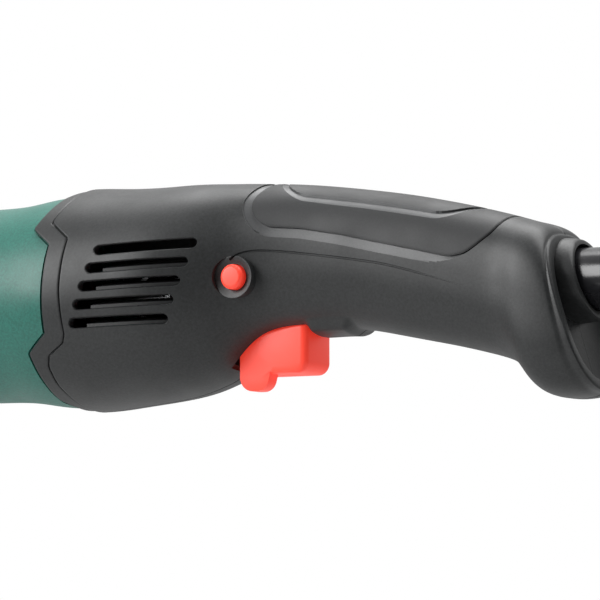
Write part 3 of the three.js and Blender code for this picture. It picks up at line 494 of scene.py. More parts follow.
def smoothstep(x, low, high):
    t = np.clip((x - low) / (high - low), 0, 1)
    return t * t * (3 - 2 * t)


def distance(points, outline, closed=True):
    """Signed distance from points to an outline in the plane, negative inside it."""
    ends = np.roll(outline, -1, 0) if closed else outline[1:]
    starts = outline if closed else outline[:-1]
    best = np.full(points.shape[:-1], 1e9)
    inside = np.zeros(points.shape[:-1], bool)
    x, z = points[..., 0], points[..., 1]
    for (ax, az), (bx, bz) in zip(starts, ends):
        dx, dz = bx - ax, bz - az
        t = np.clip(((x - ax) * dx + (z - az) * dz) / (dx * dx + dz * dz + 1e-12), 0, 1)
        best = np.minimum(best, np.hypot(x - ax - t * dx, z - az - t * dz))
        if closed and abs(bz - az) > 1e-12:
            crosses = (az > z) != (bz > z)
            inside ^= crosses & (x < (bx - ax) * (z - az) / (bz - az) + ax)
    return np.where(inside, -best, best)


# ---- The handle ----

# Stations along the handle: the section's top point (x, z), its bottom point (x, z), its half width, and how
# square it is (2 is an ellipse).
STATIONS = [
    (-8, 43.2, -8, -42.0, 42.6, 2.0), (15, 44.0, 15, -43.1, 43.4, 2.0),
    (32, 43.3, 32, -41.9, 42.6, 2.04), (48, 43.1, 46, -40.4, 41.4, 2.08),
    (60, 43.4, 57, -38.9, 39.4, 2.12), (70, 43.3, 65.5, -37.0, 36.3, 2.16),
    (78, 43.0, 72.5, -34.7, 33.0, 2.2), (86, 42.7, 79, -31.4, 29.6, 2.25),
    (95, 42.2, 86, -24.2, 26.4, 2.3), (105, 41.6, 94, -18.2, 24.1, 2.36),
    (116, 40.6, 104, -15.5, 22.6, 2.4), (128, 39.2, 117, -15.0, 21.8, 2.4),
    (142, 37.3, 132, -15.1, 21.4, 2.4), (156, 35.1, 147, -17.4, 21.3, 2.4),
    (169, 32.6, 161, -20.2, 21.5, 2.4), (181, 30.0, 175, -23.0, 21.9, 2.38),
    (192, 27.3, 188, -26.0, 22.4, 2.4), (201, 24.9, 198.5, -28.9, 22.9, 2.48),
    (207.5, 23.0, 206.1, -32.7, 24.3, 2.7), (212, 21.9, 211.2, -38.6, 25.2, 2.85),
    (215.5, 20.7, 217.8, -43.3, 25.5, 2.9), (218, 19.2, 228, -44.4, 25.3, 2.8),
    (219.7, 17.2, 238.6, -42.6, 24.4, 2.6),
]
LOFT = natural_spline(STATIONS)
LAST = len(STATIONS) - 1
MIDDLE_T = np.linspace(0, LAST, 2000)
MIDDLE_X = (LOFT(MIDDLE_T)[:, 0] + LOFT(MIDDLE_T)[:, 2]) / 2


def surface(t, a, inset=0.0):
    """The handle's surface at station t and angle a, drawn in by inset."""
    t, a, inset = np.broadcast_arrays(np.asarray(t, float), a, inset)
    xt, zt, xb, zb, half, square = np.moveaxis(LOFT(t), -1, 0)
    height = np.hypot(xt - xb, zt - zb)
    c = np.sign(np.cos(a)) * np.abs(np.cos(a)) ** (2 / square)
    s = np.sign(np.sin(a)) * np.abs(np.sin(a)) ** (2 / square)
    tall = height / 2 - inset
    return np.stack([
        (xt + xb) / 2 + (xt - xb) / height * tall * s,
        (half - inset) * c,
        (zt + zb) / 2 + (zt - zb) / height * tall * s,
    ], -1)


def side_y(x, z):
    """Half the handle's width at a place seen from the side."""
    x, z = np.broadcast_arrays(np.asarray(x, float), np.asarray(z, float))
    t = np.interp(x, MIDDLE_X, MIDDLE_T)
    for _ in range(30):
        xt, zt, xb, zb, half, square = np.moveaxis(LOFT(t), -1, 0)
        height = np.hypot(xt - xb, zt - zb)
        s = ((x - (xt + xb) / 2) * (xt - xb) + (z - (zt + zb) / 2) * (zt - zb)) / height / (height / 2)
        s = np.clip(s, -0.999, 0.999)
        line_x = (xt + xb) / 2 + (xt - xb) / height * height / 2 * s
        t = np.clip(t + (x - line_x) / 12, 0, LAST)
    return half * (1 - np.abs(s) ** square) ** (1 / square)


LIP_DROP = 0.65
# The zigzag edge of the lip over the motor housing, and the line where the lip steps up to the skin: (x, z).
LIP_EDGE = fillet([
    (12.6, 70), (12.5, 43), (9.6, 39.5), (5.3, 26.6), (14.9, 20), (14.5, 1.9), (14.2, -15), (4.8, -22.2),
    (6.4, -38.9), (9.4, -42), (9.5, -70),
], 0.9, steps=4, closed=False)
STEP_EDGE = fillet([
    (16.1, 70), (16, 44), (15.2, 36), (13.5, 28.9), (23.4, 22), (22.8, 2), (23.5, -15.5), (22, -19),
    (14.5, -23.4), (12.4, -27.5), (12.4, -34), (15, -43), (15.1, -70),
], 0.9, steps=4, closed=False)
INLAY = fillet([
    (99, 60), (97.5, 42), (94.4, 34.9), (95.8, 30.2), (98.7, 26.2), (103.7, 23.8), (117.1, 22.7),
    (133.5, 19.8), (150.2, 16.1), (166.8, 12.5), (176.8, 10.2), (181.8, 9.4), (188.3, 10.4), (192.6, 13.5),
    (197.6, 17.8), (201.5, 25.5), (203, 60), (177, 60), (151, 60), (125, 60),
], 9.0, steps=5)
INLAY_BED = 1.5
PANEL_ENDS = (116.4, 170.9)  # centres of the top panel's round ends
PANEL_R = 14.1
PANEL_CHANNEL = 2.7
GROOVE = [
    (89.4, 11.3), (92.8, 13.6), (98, 14.6), (104.2, 14.5), (117.5, 13.1), (142.1, 9.6), (158.7, 6.3),
    (175.3, 1.6), (190.4, -3),
]
VENTS = 5
VENT_R = 1.85
TRIGGER_HALF = 9.9
TRIGGER_PIVOT = (117.5, -8.6)
LOCK = (91, 4.8)
LOCK_FACE = -29.2
COLLAR_FACE = -27.2  # the round collar's face beside the lock button
SCREWS = [(32, 33.5), (32, -32.5), (125, 14), (206, -27)]
HALF_COLUMNS = 170
SKIN_ROW = 0.55  # spacing of the rows along the skin
FAR = 80


def edge_x(z, edge):
    return np.interp(-z, -edge[:, 1], edge[:, 0])


def station_at_edge(a, edge, inset):
    """The station at which each angle's line crosses an edge that runs from top to bottom."""
    low, high = np.zeros_like(a), np.full_like(a, 4.0)
    for _ in range(40):
        middle = (low + high) / 2
        p = surface(middle, a, inset)
        before = p[:, 0] < edge_x(p[:, 2], edge)
        low, high = np.where(before, middle, low), np.where(before, high, middle)
    return (low + high) / 2


def columns():
    """Angles round a section from the bottom, the -Y side first, close together at the parting plane."""
    near = [0.0065, 0.0115, 0.019]
    spread = np.linspace(0.034, math.pi - 0.034, HALF_COLUMNS)
    half = np.concatenate([[0], near, spread, [math.pi - n for n in near[::-1]]])
    return np.concatenate([-math.pi / 2 - half, -math.pi * 1.5 - half])


def parting(a):
    """Depth of the groove where the two halves meet."""
    turn = np.mod(a + math.pi / 2, math.pi)
    near = np.minimum(turn, math.pi - turn)
    return 0.55 * np.clip(1 - near / 0.0075, 0, 1) + 0.06 * np.clip(1 - near / 0.013, 0, 1)


def band_width(x):
    """Width of the bevelled channel round the inlay; it runs out towards the front."""
    return np.where(x < 100, 3.4, 3.9 - 3.2 * smoothstep(x, 168, 189))


def boss(p):
    """How far the skin swells out in the low boss behind the trigger."""
    x, y, z = p[:, 0], np.abs(p[:, 1]), p[:, 2]
    along = smoothstep(x, 113, 117) * (1 - smoothstep(x, 130.5, 134.5))
    return 2.6 * along * (1 - smoothstep(y, 9, 14)) * (z < -5)


def outer_skin():
    a = columns()
    parted = parting(a)
    t_edge = station_at_edge(a, LIP_EDGE, LIP_DROP)
    t_step = station_at_edge(a, STEP_EDGE, 0.0)
    per_mm = 1 / 21.0
    rows = [surface(t_edge, a, 7.0), surface(t_edge, a, LIP_DROP + 0.9)]
    for along, drop in [(0.08, 0.45), (0.3, 0.15), (0.65, 0.03), (1.0, 0.0)]:
        rows.append(surface(t_edge + along * per_mm, a, LIP_DROP + drop + parted))
    start, end = t_edge + 1.0 * per_mm, t_step - 1.3 * per_mm
    for f in np.linspace(0, 1, 12)[1:]:
        rows.append(surface(start + (end - start) * f, a, LIP_DROP + parted))
    step = [(-0.95, 0.8), (-0.75, 1.35), (-0.2, 1.4), (-0.02, 1.0), (0.1, 0.3), (0.25, 0.08), (0.5, 0.0)]
    for along, drop in step:
        rows.append(surface(t_step + along * per_mm, a, drop + parted))
    x0 = np.interp(t_step + 0.5 * per_mm, MIDDLE_T, MIDDLE_X)
    x1 = MIDDLE_X[-1]
    count = int((x1 - x0.mean()) / SKIN_ROW)
    for i in range(1, count + 1):
        t = np.interp(x0 + (x1 - x0) * i / count, MIDDLE_X, MIDDLE_T)
        left = (x1 - x0.mean()) * (1 - i / count)
        rim = 0.45 * math.exp(-(((left - 2.0) / 0.9) ** 2))
        rows.append(surface(t, a, parted * (left > 0.6) + rim - boss(surface(t, a))))
    return a, rows


FACE_X, FACE_Z = 0.9581, 0.2864  # the direction that the handle's front face looks in


def handle_solid():
    """The handle as one body before it is hollowed: the skin, the broad rim and the sunk front face."""
    a, rows = outer_skin()
    rim = [(0.2, 0.25), (0.6, 0.45), (1.4, 0.5), (3.4, 0.35), (4.2, 0.1), (4.6, -0.5), (4.8, -1.6),
           (5.0, -4.2), (5.5, -5.0), (8.0, -5.2), (12.0, -5.2)]
    for inset, forward in rim:
        p = surface(float(LAST), a, inset)
        p[:, 0] += FACE_X * forward
        p[:, 2] += FACE_Z * forward
        rows.append(p)
    return grid(rows)


def collar_body(rings):
    """A body round the boom made of (x, radius) rings that lean with the handle's front face."""
    a = np.arange(96) * 2 * math.pi / 96
    return grid([np.stack([x - 0.3 * r * np.sin(a), r * np.cos(a), r * np.sin(a)], -1) for x, r in rings])


def offset(outline, by):
    """A closed outline moved outwards by a distance, which may differ from point to point."""
    outline = np.asarray(outline, float)
    tangent = np.roll(outline, -1, 0) - np.roll(outline, 1, 0)
    normal = np.stack([tangent[:, 1], -tangent[:, 0]], -1)
    normal /= np.linalg.norm(normal, axis=1)[:, None]
    if ((outline - outline.mean(0)) * normal).sum() < 0:
        normal = -normal
    return outline + normal * np.reshape(by, (-1, 1))


def surface_cutter(outline, levels, side):
    """A cutter through one side of the handle, whose mouth follows the skin. Levels are (growth, depth)."""
    rows = []
    for growth, depth in levels:
        p = offset(outline, growth)
        y = (side_y(p[:, 0], p[:, 1]) - depth) * side
        rows.append(np.stack([p[:, 0], y, p[:, 1]], -1))
    return grid(rows)


def loft_body(inset, x0, x1, step=0.8, around=360):
    """The handle's loft between two places, drawn in by a number or by a function of its points."""
    a = np.arange(around) * 2 * math.pi / around
    rows = []
    for t in np.interp(np.arange(x0, x1, step), MIDDLE_X, MIDDLE_T):
        depth = inset(surface(t, a)) if callable(inset) else inset
        rows.append(surface(t, a, depth))
    return grid(rows)


def stadium(a, b, r, n=12):
    (ax, az), (bx, bz) = a, b
    turn = math.atan2(bz - az, bx - ax)
    right = np.linspace(-math.pi / 2, math.pi / 2, n) + turn
    first = np.stack([bx + r * np.cos(right), bz + r * np.sin(right)], -1)
    second = np.stack([ax - r * np.cos(right), az - r * np.sin(right)], -1)
    f = np.linspace(0, 1, 30)[1:-1, None]
    top = first[-1] + (second[0] - first[-1]) * f
    low = second[-1] + (first[0] - second[-1]) * f
    return np.vstack([first, top, second, low])


def vent_ends(i):
    return (38.2 - 2.5 * i, 16.4 - 6.95 * i), (75.2 - 2.65 * i, 18.2 - 7.2 * i)


def groove_cutter(side):
    points = np.array(GROOVE)
    curve = natural_spline(points)(np.linspace(0, len(points) - 1, 120))
    tangent = np.gradient(curve, axis=0)
    tangent /= np.linalg.norm(tangent, axis=1)[:, None]
    normal = np.stack([-tangent[:, 1], tangent[:, 0]], -1)
    y = side_y(curve[:, 0], curve[:, 1])
    taper = np.clip((len(curve) - 1 - np.arange(len(curve))) / 25, 0.02, 1)
    rows = []
    for p, n, w, f in zip(curve, normal, y, taper):
        section = [(0.5, 0.12), (0.22, -0.6), (-0.22, -0.6), (-0.5, 0.12)]
        loop = [(p + n * across * f, w + (deep if deep > 0 else deep * f)) for across, deep in section]
        loop += [(p - n * 0.5 * f, w + 3), (p + n * 0.5 * f, w + 3)]
        rows.append([(q[0], side * d, q[1]) for q, d in loop])
    return grid(rows)


def housing_r(x):
    """The motor housing's radius, which swells before the handle."""
    return 38 + 3.6 / (1 + math.exp(-(x + 6) / 5.5))


def inner_space():
    """What is hollow inside the handle: the room for the motor's front end and the grip's own hollow."""
    a = np.arange(64) * 2 * math.pi / 64
    room = grid([surface(k, a, 3.0) for k in np.linspace(0, 19, 70)])
    xs = [-60.0, -40, -30, -22, -14, -8, -2, 4, 10, 16.3]
    bore = turned("x", [(0, xs[0])] + [(housing_r(x) + 0.3, x) for x in xs] + [(0, xs[-1])], 96)
    return room, bore


def louvre(i, side):
    """A slat behind a vent, fixed to the wall at the vent's front end."""
    (ax, az), (bx, bz) = vent_ends(i)
    x = np.linspace(ax + 4.5, bx + 4.0, 24)
    z = az + (bz - az) * (x - ax) / (bx - ax) - 0.7
    y = side_y(x, z)
    rows = []
    for k in range(len(x)):
        out, deep = y[k] - 2.3, y[k] - 8.0
        section = [(out, z[k] - 0.9), (out, z[k] + 0.3), (deep, z[k] + 1.9), (deep, z[k] + 0.7)]
        rows.append([(x[k], side * q, h) for q, h in section])
    return grid(rows)


def inlay_cutters():
    """The bed under the soft inlay and the bevelled channel round it."""
    width = band_width(INLAY[:, 0])

    def channel_floor(p):
        away = distance(p[:, [0, 2]], INLAY)
        return 0.95 - 0.55 * np.clip(away / band_width(p[:, 0]), 0, 1)

    channel = cut(prism("y", offset(INLAY, width), -60, 60), loft_body(channel_floor, 84, 214))
    bed = cut(prism("y", offset(INLAY, 0.2), -60, 60), loft_body(INLAY_BED + 0.15, 84, 214))
    return channel, bed


def painted(material, chosen):
    """Gives a second material to the faces of a rear-unit piece that are chosen by their middles."""
    def apply(made):
        mesh = made.data
        mesh.materials.append(material)
        centres = np.empty(len(mesh.polygons) * 3)
        mesh.polygons.foreach_get("center", centres)
        centres = centres.reshape(-1, 3) * 1000 - (REAR_X, 0, 0)
        mesh.polygons.foreach_set("material_index", chosen(centres).astype(np.int32))
    return apply


def in_channel(p):
    near = (p[:, 0] > 86) & (p[:, 0] < 206) & (p[:, 2] > 4)
    chosen = np.zeros(len(p), bool)
    away = distance(p[near][:, [0, 2]], INLAY)
    chosen[near] = (away > -0.4) & (away < band_width(p[near][:, 0]) + 0.02)
    return chosen


def make_shells():
    whole = handle_solid()
    collar = [(212, 16.6), (222, 16.3), (227.5, 15.8), (229.8, 15.5), (230.9, 15.2), (231.4, 14.6),
              (231.5, 8)]
    whole = join(whole, collar_body(collar))
    room, bore = inner_space()
    whole = cut(whole, room, bore)
    saddles = [common(loft_body(2.4, 140, 212, 1.5, 64), slab((x, x + 4), (-60, 60), (-60, 16)))
               for x in (150, 196)]
    collar_core = collar_body([(206, 16.0), (227, 15.0)])
    lock_collar = rod("y", 8.1, COLLAR_FACE, -20, LOCK, n=96)
    lock_guide = rod("y", 7.4, -26, -9, LOCK, n=64)
    whole = join(whole, *saddles, collar_core, lock_collar, lock_guide)
    tube_way = [(139, 12.25), (227.6, 12.25), (227.7, 13.0), (230.8, 13.2), (232.2, 13.9), (240, 13.9)]
    whole = cut(whole, collar_body(tube_way), *inlay_cutters(), groove_cutter(-1), groove_cutter(1))
    for side in (-1, 1):
        levels = [(0.55, -2.5), (0.5, -0.1), (0.3, 0.12), (0.06, 0.4), (0, 0.7), (0, 9)]
        vents = [surface_cutter(stadium(*vent_ends(i), VENT_R), levels, side) for i in range(VENTS)]
        whole = cut(whole, *vents)
        whole = join(whole, *[louvre(i, side) for i in range(1, VENTS)])
    # Round the lock button: the collar's flat ring, its dished face and the button's bore.
    ring_way = rod("y", 8.1, -40, COLLAR_FACE, LOCK, n=96)
    sunk = COLLAR_FACE + 1.1
    dish = turned("y", [(0, -40), (7.5, -40), (7.5, COLLAR_FACE), (5.6, sunk), (0, sunk)], 96, LOCK)
    button_way = rod("y", 5.15, -40, -12.5, LOCK, n=64)
    stem_way = rod("y", 2.4, -14, -5, LOCK, n=32)
    whole = cut(whole, ring_way, dish, button_way, stem_way)
    opening = [(81.2, -60), (81.2, -30.3), (80.2, -28), (79.3, -12), (114.4, -7), (114.4, -60)]
    opening = prism("y", opening, -10.4, 10.4)
    pin = rod("y", 1.7, -13.6, 13.6, TRIGGER_PIVOT, n=24)
    ear_room = slab((112, 122.5), (-9.2, 9.2), (-12.8, -4))
    switch_room = slab((85, 108), (4, 13.8), (-9.2, 10))
    whole = cut(whole, opening, ear_room, switch_room, pin)
    right = common(copy_of(whole), slab((-60, 300), (-90, -0.04), (-90, 90)))
    left = common(whole, slab((-60, 300), (0.04, 90), (-90, 90)))
    # A wall on the parting plane behind the vents, with room for the coupling.
    wall = common(loft_body(2.5, 20, 84, 1.5, 64), slab((20, 80), (0.06, 1.6), (-FAR, FAR)))
    wall = cut(wall, rod("x", 11, 0, 54), rod("x", 4.7, 50, 90))
    left = join(left, wall)
    for x, z in SCREWS:
        y = float(side_y(x, z))
        left = cut(left, rod("y", 3.7, min(10.0, y - 3), y + 5, (x, z), n=32))
    # The faces in the channel round the inlay get the lighter grey of the painted sheen.
    finish = painted(SMOOTH_SHEEN_BLACK, in_channel)
    piece(left, "handle_shell_left_skin", "frame", BLACK, "handle_shell_left", extra=finish)
    piece(right, "handle_shell_right_skin", "frame", BLACK, "handle_shell_right", extra=finish)


def pad_layer(inset, growth, bed):
    """One layer of the inlay: its top lies at inset below the loft, its edge at growth from the outline."""
    a = np.linspace(0.10, math.pi - 0.10, 260)
    rows = []
    for t in np.interp(np.arange(88, 214, 0.5), MIDDLE_X, MIDDLE_T):
        rows.append(np.vstack([surface(t, a, inset), surface(t, a[::-1], bed)]))
    return common(grid(rows), prism("y", offset(INLAY, growth), -60, 60))


def make_inlay():
    pad = join(pad_layer(0.0, -0.8, 1.5), pad_layer(0.07, -0.4, 1.49), pad_layer(0.28, 0.0, 1.48))
    panel = stadium((PANEL_ENDS[0], 0), (PANEL_ENDS[1], 0), PANEL_R, 40)

    def channel_floor(p):
        away = distance(p[:, :2], panel)
        return 0.75 - 0.5 * np.clip(away / PANEL_CHANNEL, 0, 1)

    channel = cut(prism("z", offset(panel, PANEL_CHANNEL), 8, 60), prism("z", panel, 7, 61))
    channel = cut(channel, loft_body(channel_floor, 88, 212, 0.6, 480))
    pad = cut(pad, channel)

    def in_panel_channel(p):
        away = distance(p[:, :2], panel)
        return (p[:, 2] > 15) & (away > 0) & (away < PANEL_CHANNEL)

    # The faces in the panel's channel get the lighter grey of the painted sheen.
    finish = painted(SOFT_SHEEN_BAND, in_panel_channel)
    piece(pad, "grip_inlay_pad", "frame", SOFT, "grip_inlay", angle=40, extra=finish)


# ---- Trigger and lock button ----


def make_controls():
    outline = [(84, -15.6, 0), (84, -31.4, 3.4), (113.2, -31.4, 4.6), (113.2, -10.9, 0)]
    outline = fillet(outline, 1.0, steps=10)
    blade = bevelled(prism("y", outline, -TRIGGER_HALF, TRIGGER_HALF), 2.4, 6, 40)
    # The finger stop at the blade's rear end, on the right-hand side.
    stop = fillet([
        (84, -20, 0), (84, -37.8, 6.0), (95.5, -37.8, 5.0), (97.5, -30.2, 2.6), (102, -28, 0), (102, -20, 0),
    ], 1.0, steps=10)
    blade = join(blade, bevelled(prism("y", stop, -TRIGGER_HALF, -TRIGGER_HALF + 6.4), 2.4, 6, 40))
    ear_outline = [(108, -14.4), (118, -11.6), (120.2, -9), (118, -5.9), (113, -6.6), (108, -12.2)]
    blade = join(blade, prism("y", ear_outline, -8.6, 8.6, 0.4))
    blade = cut(blade, rod("y", 1.8, -30, 30, TRIGGER_PIVOT, n=24))
    piece(blade, "trigger_blade", "trigger", RED, "trigger")
    button = turned("y", [
        (0, LOCK_FACE, 0), (3.7, LOCK_FACE), (4.8, LOCK_FACE + 1), (4.8, -20), (2, -20), (2, -7), (0, -7, 0),
    ], 64, LOCK, radius=0.7)
    piece(button, "lock_button_cap", "lock_button", RED, "lock_button")


# ---- Motor housing, rear cap and what is on them ----


HOUSING_X = (-150, 16)
BRUSH = (-125, 0)
GLAND = (0, -20)
CAP_SLOTS = 20


def strip_between(first, second):
    """A strip between two edges of equal length, extruded across the whole width."""
    rows = []
    for p, q in zip(first, second):
        rows.append([(p[0], -60, p[1]), (p[0], 60, p[1]), (q[0], 60, q[1]), (q[0], -60, q[1])])
    return grid(rows)


def make_housing():
    rear, front = HOUSING_X
    xs = [rear + 0.6, -120, -90, -60, -45, -34, -28, -24, *range(-20, 14, 3), 15.6, front]
    outer = [(37.5, rear)] + [(housing_r(x), x) for x in xs]
    tube = turned("x", outer + [(38.8, front), (38.8, -2.8), (35.4, -3.2), (35.4, rear)], 160)
    bosses, holes = [], []
    for side in (-1, 1):
        bosses.append(rod("y", 10, *sorted((30 * side, 37.6 * side)), BRUSH, 0.5, 64))
        holes.append(rod("y", 7.8, *sorted((20 * side, 50 * side)), BRUSH, n=64))
    tube = cut(join(tube, *bosses), *holes)
    # Two turned lines near the rear edge, and the dark gap along the handle's lip.
    lines = [ring("x", 37.5, 40, x - 0.5, x + 0.5, 128) for x in (-144, -138)]
    along = np.gradient(LIP_EDGE, axis=0)
    across = np.stack([along[:, 1], -along[:, 0]], -1) / np.linalg.norm(along, axis=1)[:, None]
    gap = strip_between(LIP_EDGE + 1.2 * across, LIP_EDGE - 2.0 * across)
    around = [(housing_r(x) - 1.1, x) for x in np.linspace(-2, 15.9, 12)] + [(60, 15.9), (60, -2)]
    around = turned("x", around, 128)
    tube = cut(tube, *lines, common(gap, around))
    fine("motor_housing", tube, "frame", TEAL)


def make_rear_cap():
    x0, x1 = -176, -150.3
    profile = [
        (0, x0, 0), (25, x0, 2), (32, x0 + 2, 6), (36.2, x0 + 7, 8), (38, x0 + 15, 6), (38, x1 - 0.6, 0),
        (37.4, x1, 0), (35.2, x1, 0), (35.2, x0 + 15, 1), (33, x0 + 9, 1), (29, x0 + 5, 1), (9.3, x0 + 5, 0),
        (9.3, x1 + 10, 0), (0, x1 + 10, 0),
    ]
    cap = turned("x", profile, 160, radius=1.0, steps=6)
    cutters = [rod("x", 8.3, x1, x1 + 20), rod("x", 5, x0 + 8, x1 + 20),
               rod("x", 6.4, x0 - 1, x0 + 20, GLAND)]
    for i in range(CAP_SLOTS):
        slot = prism("z", stadium((x0 + 14.5, 0), (x0 + 21, 0), 1.5), 30, 45)
        cutters.append(spun(slot, (i + 0.5) * 360 / CAP_SLOTS, "X"))
    cutters.append(ring("x", 37.4, 40, x1 - 2.6, x1 - 1.8, 128))
    fine("rear_cap", cut(cap, *cutters), "frame", BLACK)
    gland = [
        (3.6, x0 - 5.5), (8.2, x0 - 5.5), (8.2, x0 - 0.3), (6.1, x0 - 0.3, 0), (6.1, x0 + 7), (3.6, x0 + 7),
    ]
    fine("cord_gland", turned("x", gland, 64, GLAND, 0.8), "frame", SOFT)
    for side, name in ((1, "left"), (-1, "right")):
        cap = rod("y", 7.5, *sorted((31 * side, 37.2 * side)), BRUSH, 0.6, 64)
        slit = slab((BRUSH[0] - 5, BRUSH[0] + 5), sorted((35.8 * side, 40 * side)), (-1, 1))
        fine("brush_cap_" + name, cut(cap, slit), "frame", BLACK)
    for i, (x, z) in enumerate(SCREWS):
        screw = join(rod("y", 3.3, 8, 10.8, (x, z), 0.5, 40), rod("y", 1.6, -12, 8.5, (x, z), n=24))
        cross = [slab((x - 1.9, x + 1.9), (9.4, 12), (z - 0.45, z + 0.45)),
                 slab((x - 0.45, x + 0.45), (9.4, 12), (z - 1.9, z + 1.9))]
        fine("shell_screw_%d" % (i + 1), cut(screw, *cross), "frame", DARK_STEEL)


# ---- Boom, strap clamp and front handle ----

BOOM_WAY = 12.3  # radius of the bores that the boom passes through
HANDLE_X = 450
PIVOT = (HANDLE_X, 35)
BASE_Z = 60  # middle of the loop's cross bar
LOOP_HALF = 58
LOOP_TOP = 138
LOOP_R = 12
CORNER = 34
CLAMP_SCREW_Y = 19.4
STRAP_BOLT = (0, 20.2)
STRAP_EYE = (0, 36)


def make_strap_clamp():
    band = ring("x", BOOM_WAY, 16, -9, 9, radius=0.7)
    ears = slab((-9, 9), (-5.2, 5.2), (14, 24), 1.2, 3)
    eye = prism("x", circle(10, 96, STRAP_EYE), -2, 2, 0.7, 3)
    plate = slab((-2, 2), (-5.2, 5.2), (23, 30), 0.4)
    holes = [rod("x", 6.2, -5, 5, STRAP_EYE, n=64), slab((-10, 10), (-1, 1), (10, 25)),
             rod("y", 2.3, -20, 20, STRAP_BOLT),
             rod("x", BOOM_WAY, -20, 20, n=96)]
    fine("strap_clamp", cut(join(band, ears, eye, plate), *holes), "frame", DARK_STEEL, MM)
    ends = [prism("y", circle(3.8, 6, STRAP_BOLT), low, low + 3, 0.3) for low in (5.5, -8.6)]
    fine("strap_bolt", join(rod("y", 2, -9, 6, STRAP_BOLT, n=32), *ends), "frame", STEEL, MM)


def make_front_handle():
    side = [
        (-LOOP_HALF + 9, BASE_Z), (-LOOP_HALF + 3.2, BASE_Z + 12), (-LOOP_HALF, BASE_Z + 30),
        (-LOOP_HALF, LOOP_TOP - CORNER),
    ]
    for i in range(1, 7):
        w = math.pi - i * math.pi / 12
        side.append((-LOOP_HALF + CORNER + CORNER * math.cos(w), LOOP_TOP - CORNER + CORNER * math.sin(w)))
    half = np.array(side)
    path = np.vstack([half, half[::-1] * (-1, 1)])
    line = natural_spline(path)(np.linspace(0, len(path) - 1, 420))
    line = np.stack([np.full(len(line), HANDLE_X), line[:, 0], line[:, 1]], -1)
    # The grip over the top is ribbed.
    along = np.linspace(0, 1, len(line))
    ribbed = smoothstep(along, 0.2, 0.23) * (1 - smoothstep(along, 0.77, 0.8))
    scale = 0.95 + 0.05 * ribbed * (0.4 + 0.6 * np.abs(np.sin(along * 46 * math.pi)) ** 0.4)
    arch = sweep(line, LOOP_R, 48, scale)
    bar_outline = fillet([
        (-LOOP_HALF + 1, BASE_Z + 6), (-LOOP_HALF - 1, BASE_Z), (-LOOP_HALF + 5, BASE_Z - 6),
        (-20, BASE_Z - 7.2), (20, BASE_Z - 7.2), (LOOP_HALF - 5, BASE_Z - 6), (LOOP_HALF + 1, BASE_Z),
        (LOOP_HALF - 1, BASE_Z + 6), (20, BASE_Z + 8), (-20, BASE_Z + 8),
    ], 3.5, steps=6)
    x, z = PIVOT
    bar = prism("x", bar_outline, x - 11, x + 11, 2.6, 4)
    lug = join(rod("y", 8, -8, 8, PIVOT, 0.6, 64), slab((x - 8, x + 8), (-8, 8), (z, BASE_Z), 0.6))
    loop = cut(join(arch, bar, lug), rod("y", 3.4, -20, 20, PIVOT, n=32))
    fine("front_handle_loop", loop, "front_handle", BLACK)

    low, high = x - 15, x + 15
    ears = [join(slab((x - 8, x + 8), span, (10, z), 0.6), rod("y", 8, *span, PIVOT, 0.6, 64))
            for span in ((8.4, 15), (-15, -8.4))]
    wide = slab((low, high), (-24, 24), (0.3, 13), 1.6, 3)
    upper = join(wide, slab((low, high), (-15.5, 15.5), (0.3, 16.4), 1.6, 3), *ears)
    drilled = [rod("z", 2.3, -30, 30, (x, y), n=32) for y in (-CLAMP_SCREW_Y, CLAMP_SCREW_Y)]
    twins = [copy_of(hole) for hole in drilled]
    bore = rod("x", BOOM_WAY, low - 1, high + 1, n=96)
    upper = cut(upper, rod("y", 3.4, -20, 20, PIVOT, n=32), copy_of(bore), *drilled)
    fine("handle_clamp_upper", upper, "frame", BLACK)
    lower = fillet([(-24, -0.3, 0), (-24, -8), (-14, -16), (14, -16), (24, -8), (24, -0.3, 0)], 3, steps=5)
    fine("handle_clamp_lower", cut(prism("x", lower, low, high, 0.9, 2), bore, *twins), "frame", BLACK)
    for i, y in enumerate((-CLAMP_SCREW_Y, CLAMP_SCREW_Y)):
        screw = join(rod("z", 2, -14, 13.5, (x, y), n=24), rod("z", 3.8, 13.3, 16.3, (x, y), 0.5, 40))
        screw = cut(screw, prism("z", circle(1.7, 6, (x, y)), 14.6, 18))
        fine("clamp_screw_%d" % (i + 1), screw, "frame", STEEL)

    w = np.arange(150) * 2 * math.pi / 150
    r = 13 + 2 * np.cos(5 * w)
    lobes = np.stack([x + r * np.cos(w), z + r * np.sin(w)], -1)
    knob = join(prism("y", lobes, -31, -20, 2.4, 4), rod("y", 8, -21, -15.4, PIVOT, 0.5, 64),
                rod("y", 3, -16, 18.6, PIVOT, n=32), prism("y", circle(5.6, 6, PIVOT), 15.4, 18.6, 0.4))
    knob = cut(knob, turned("y", [(0, -33, 0), (6, -33, 0), (6, -30), (0, -30, 0)], 64, PIVOT, radius=0.5))
    fine("handle_knob", knob, "handle_knob", BLACK)


# ---- Gearbox and cutting head, in the head's own frame ----

SPINDLE_R = 5
SPOOL_R = 46
SPOOL_Z = (-112, -64)
LINE_Z = -89
GUARD_TOP, GUARD_LOW = -50, -92
GUARD_R = 132
CUTTER_ANGLE = 116  # the line cutter's place round the guard, in degrees
COVER_SCREWS = [(26.2 * math.cos(w), 26.2 * math.sin(w)) for w in map(math.radians, (40, 140, 220, 320))]


def along_boom(r, low, high, edge=0.0):
    return spun(rod("x", r, low, high, edge=edge, n=96), BOOM_LEAN, "Y")


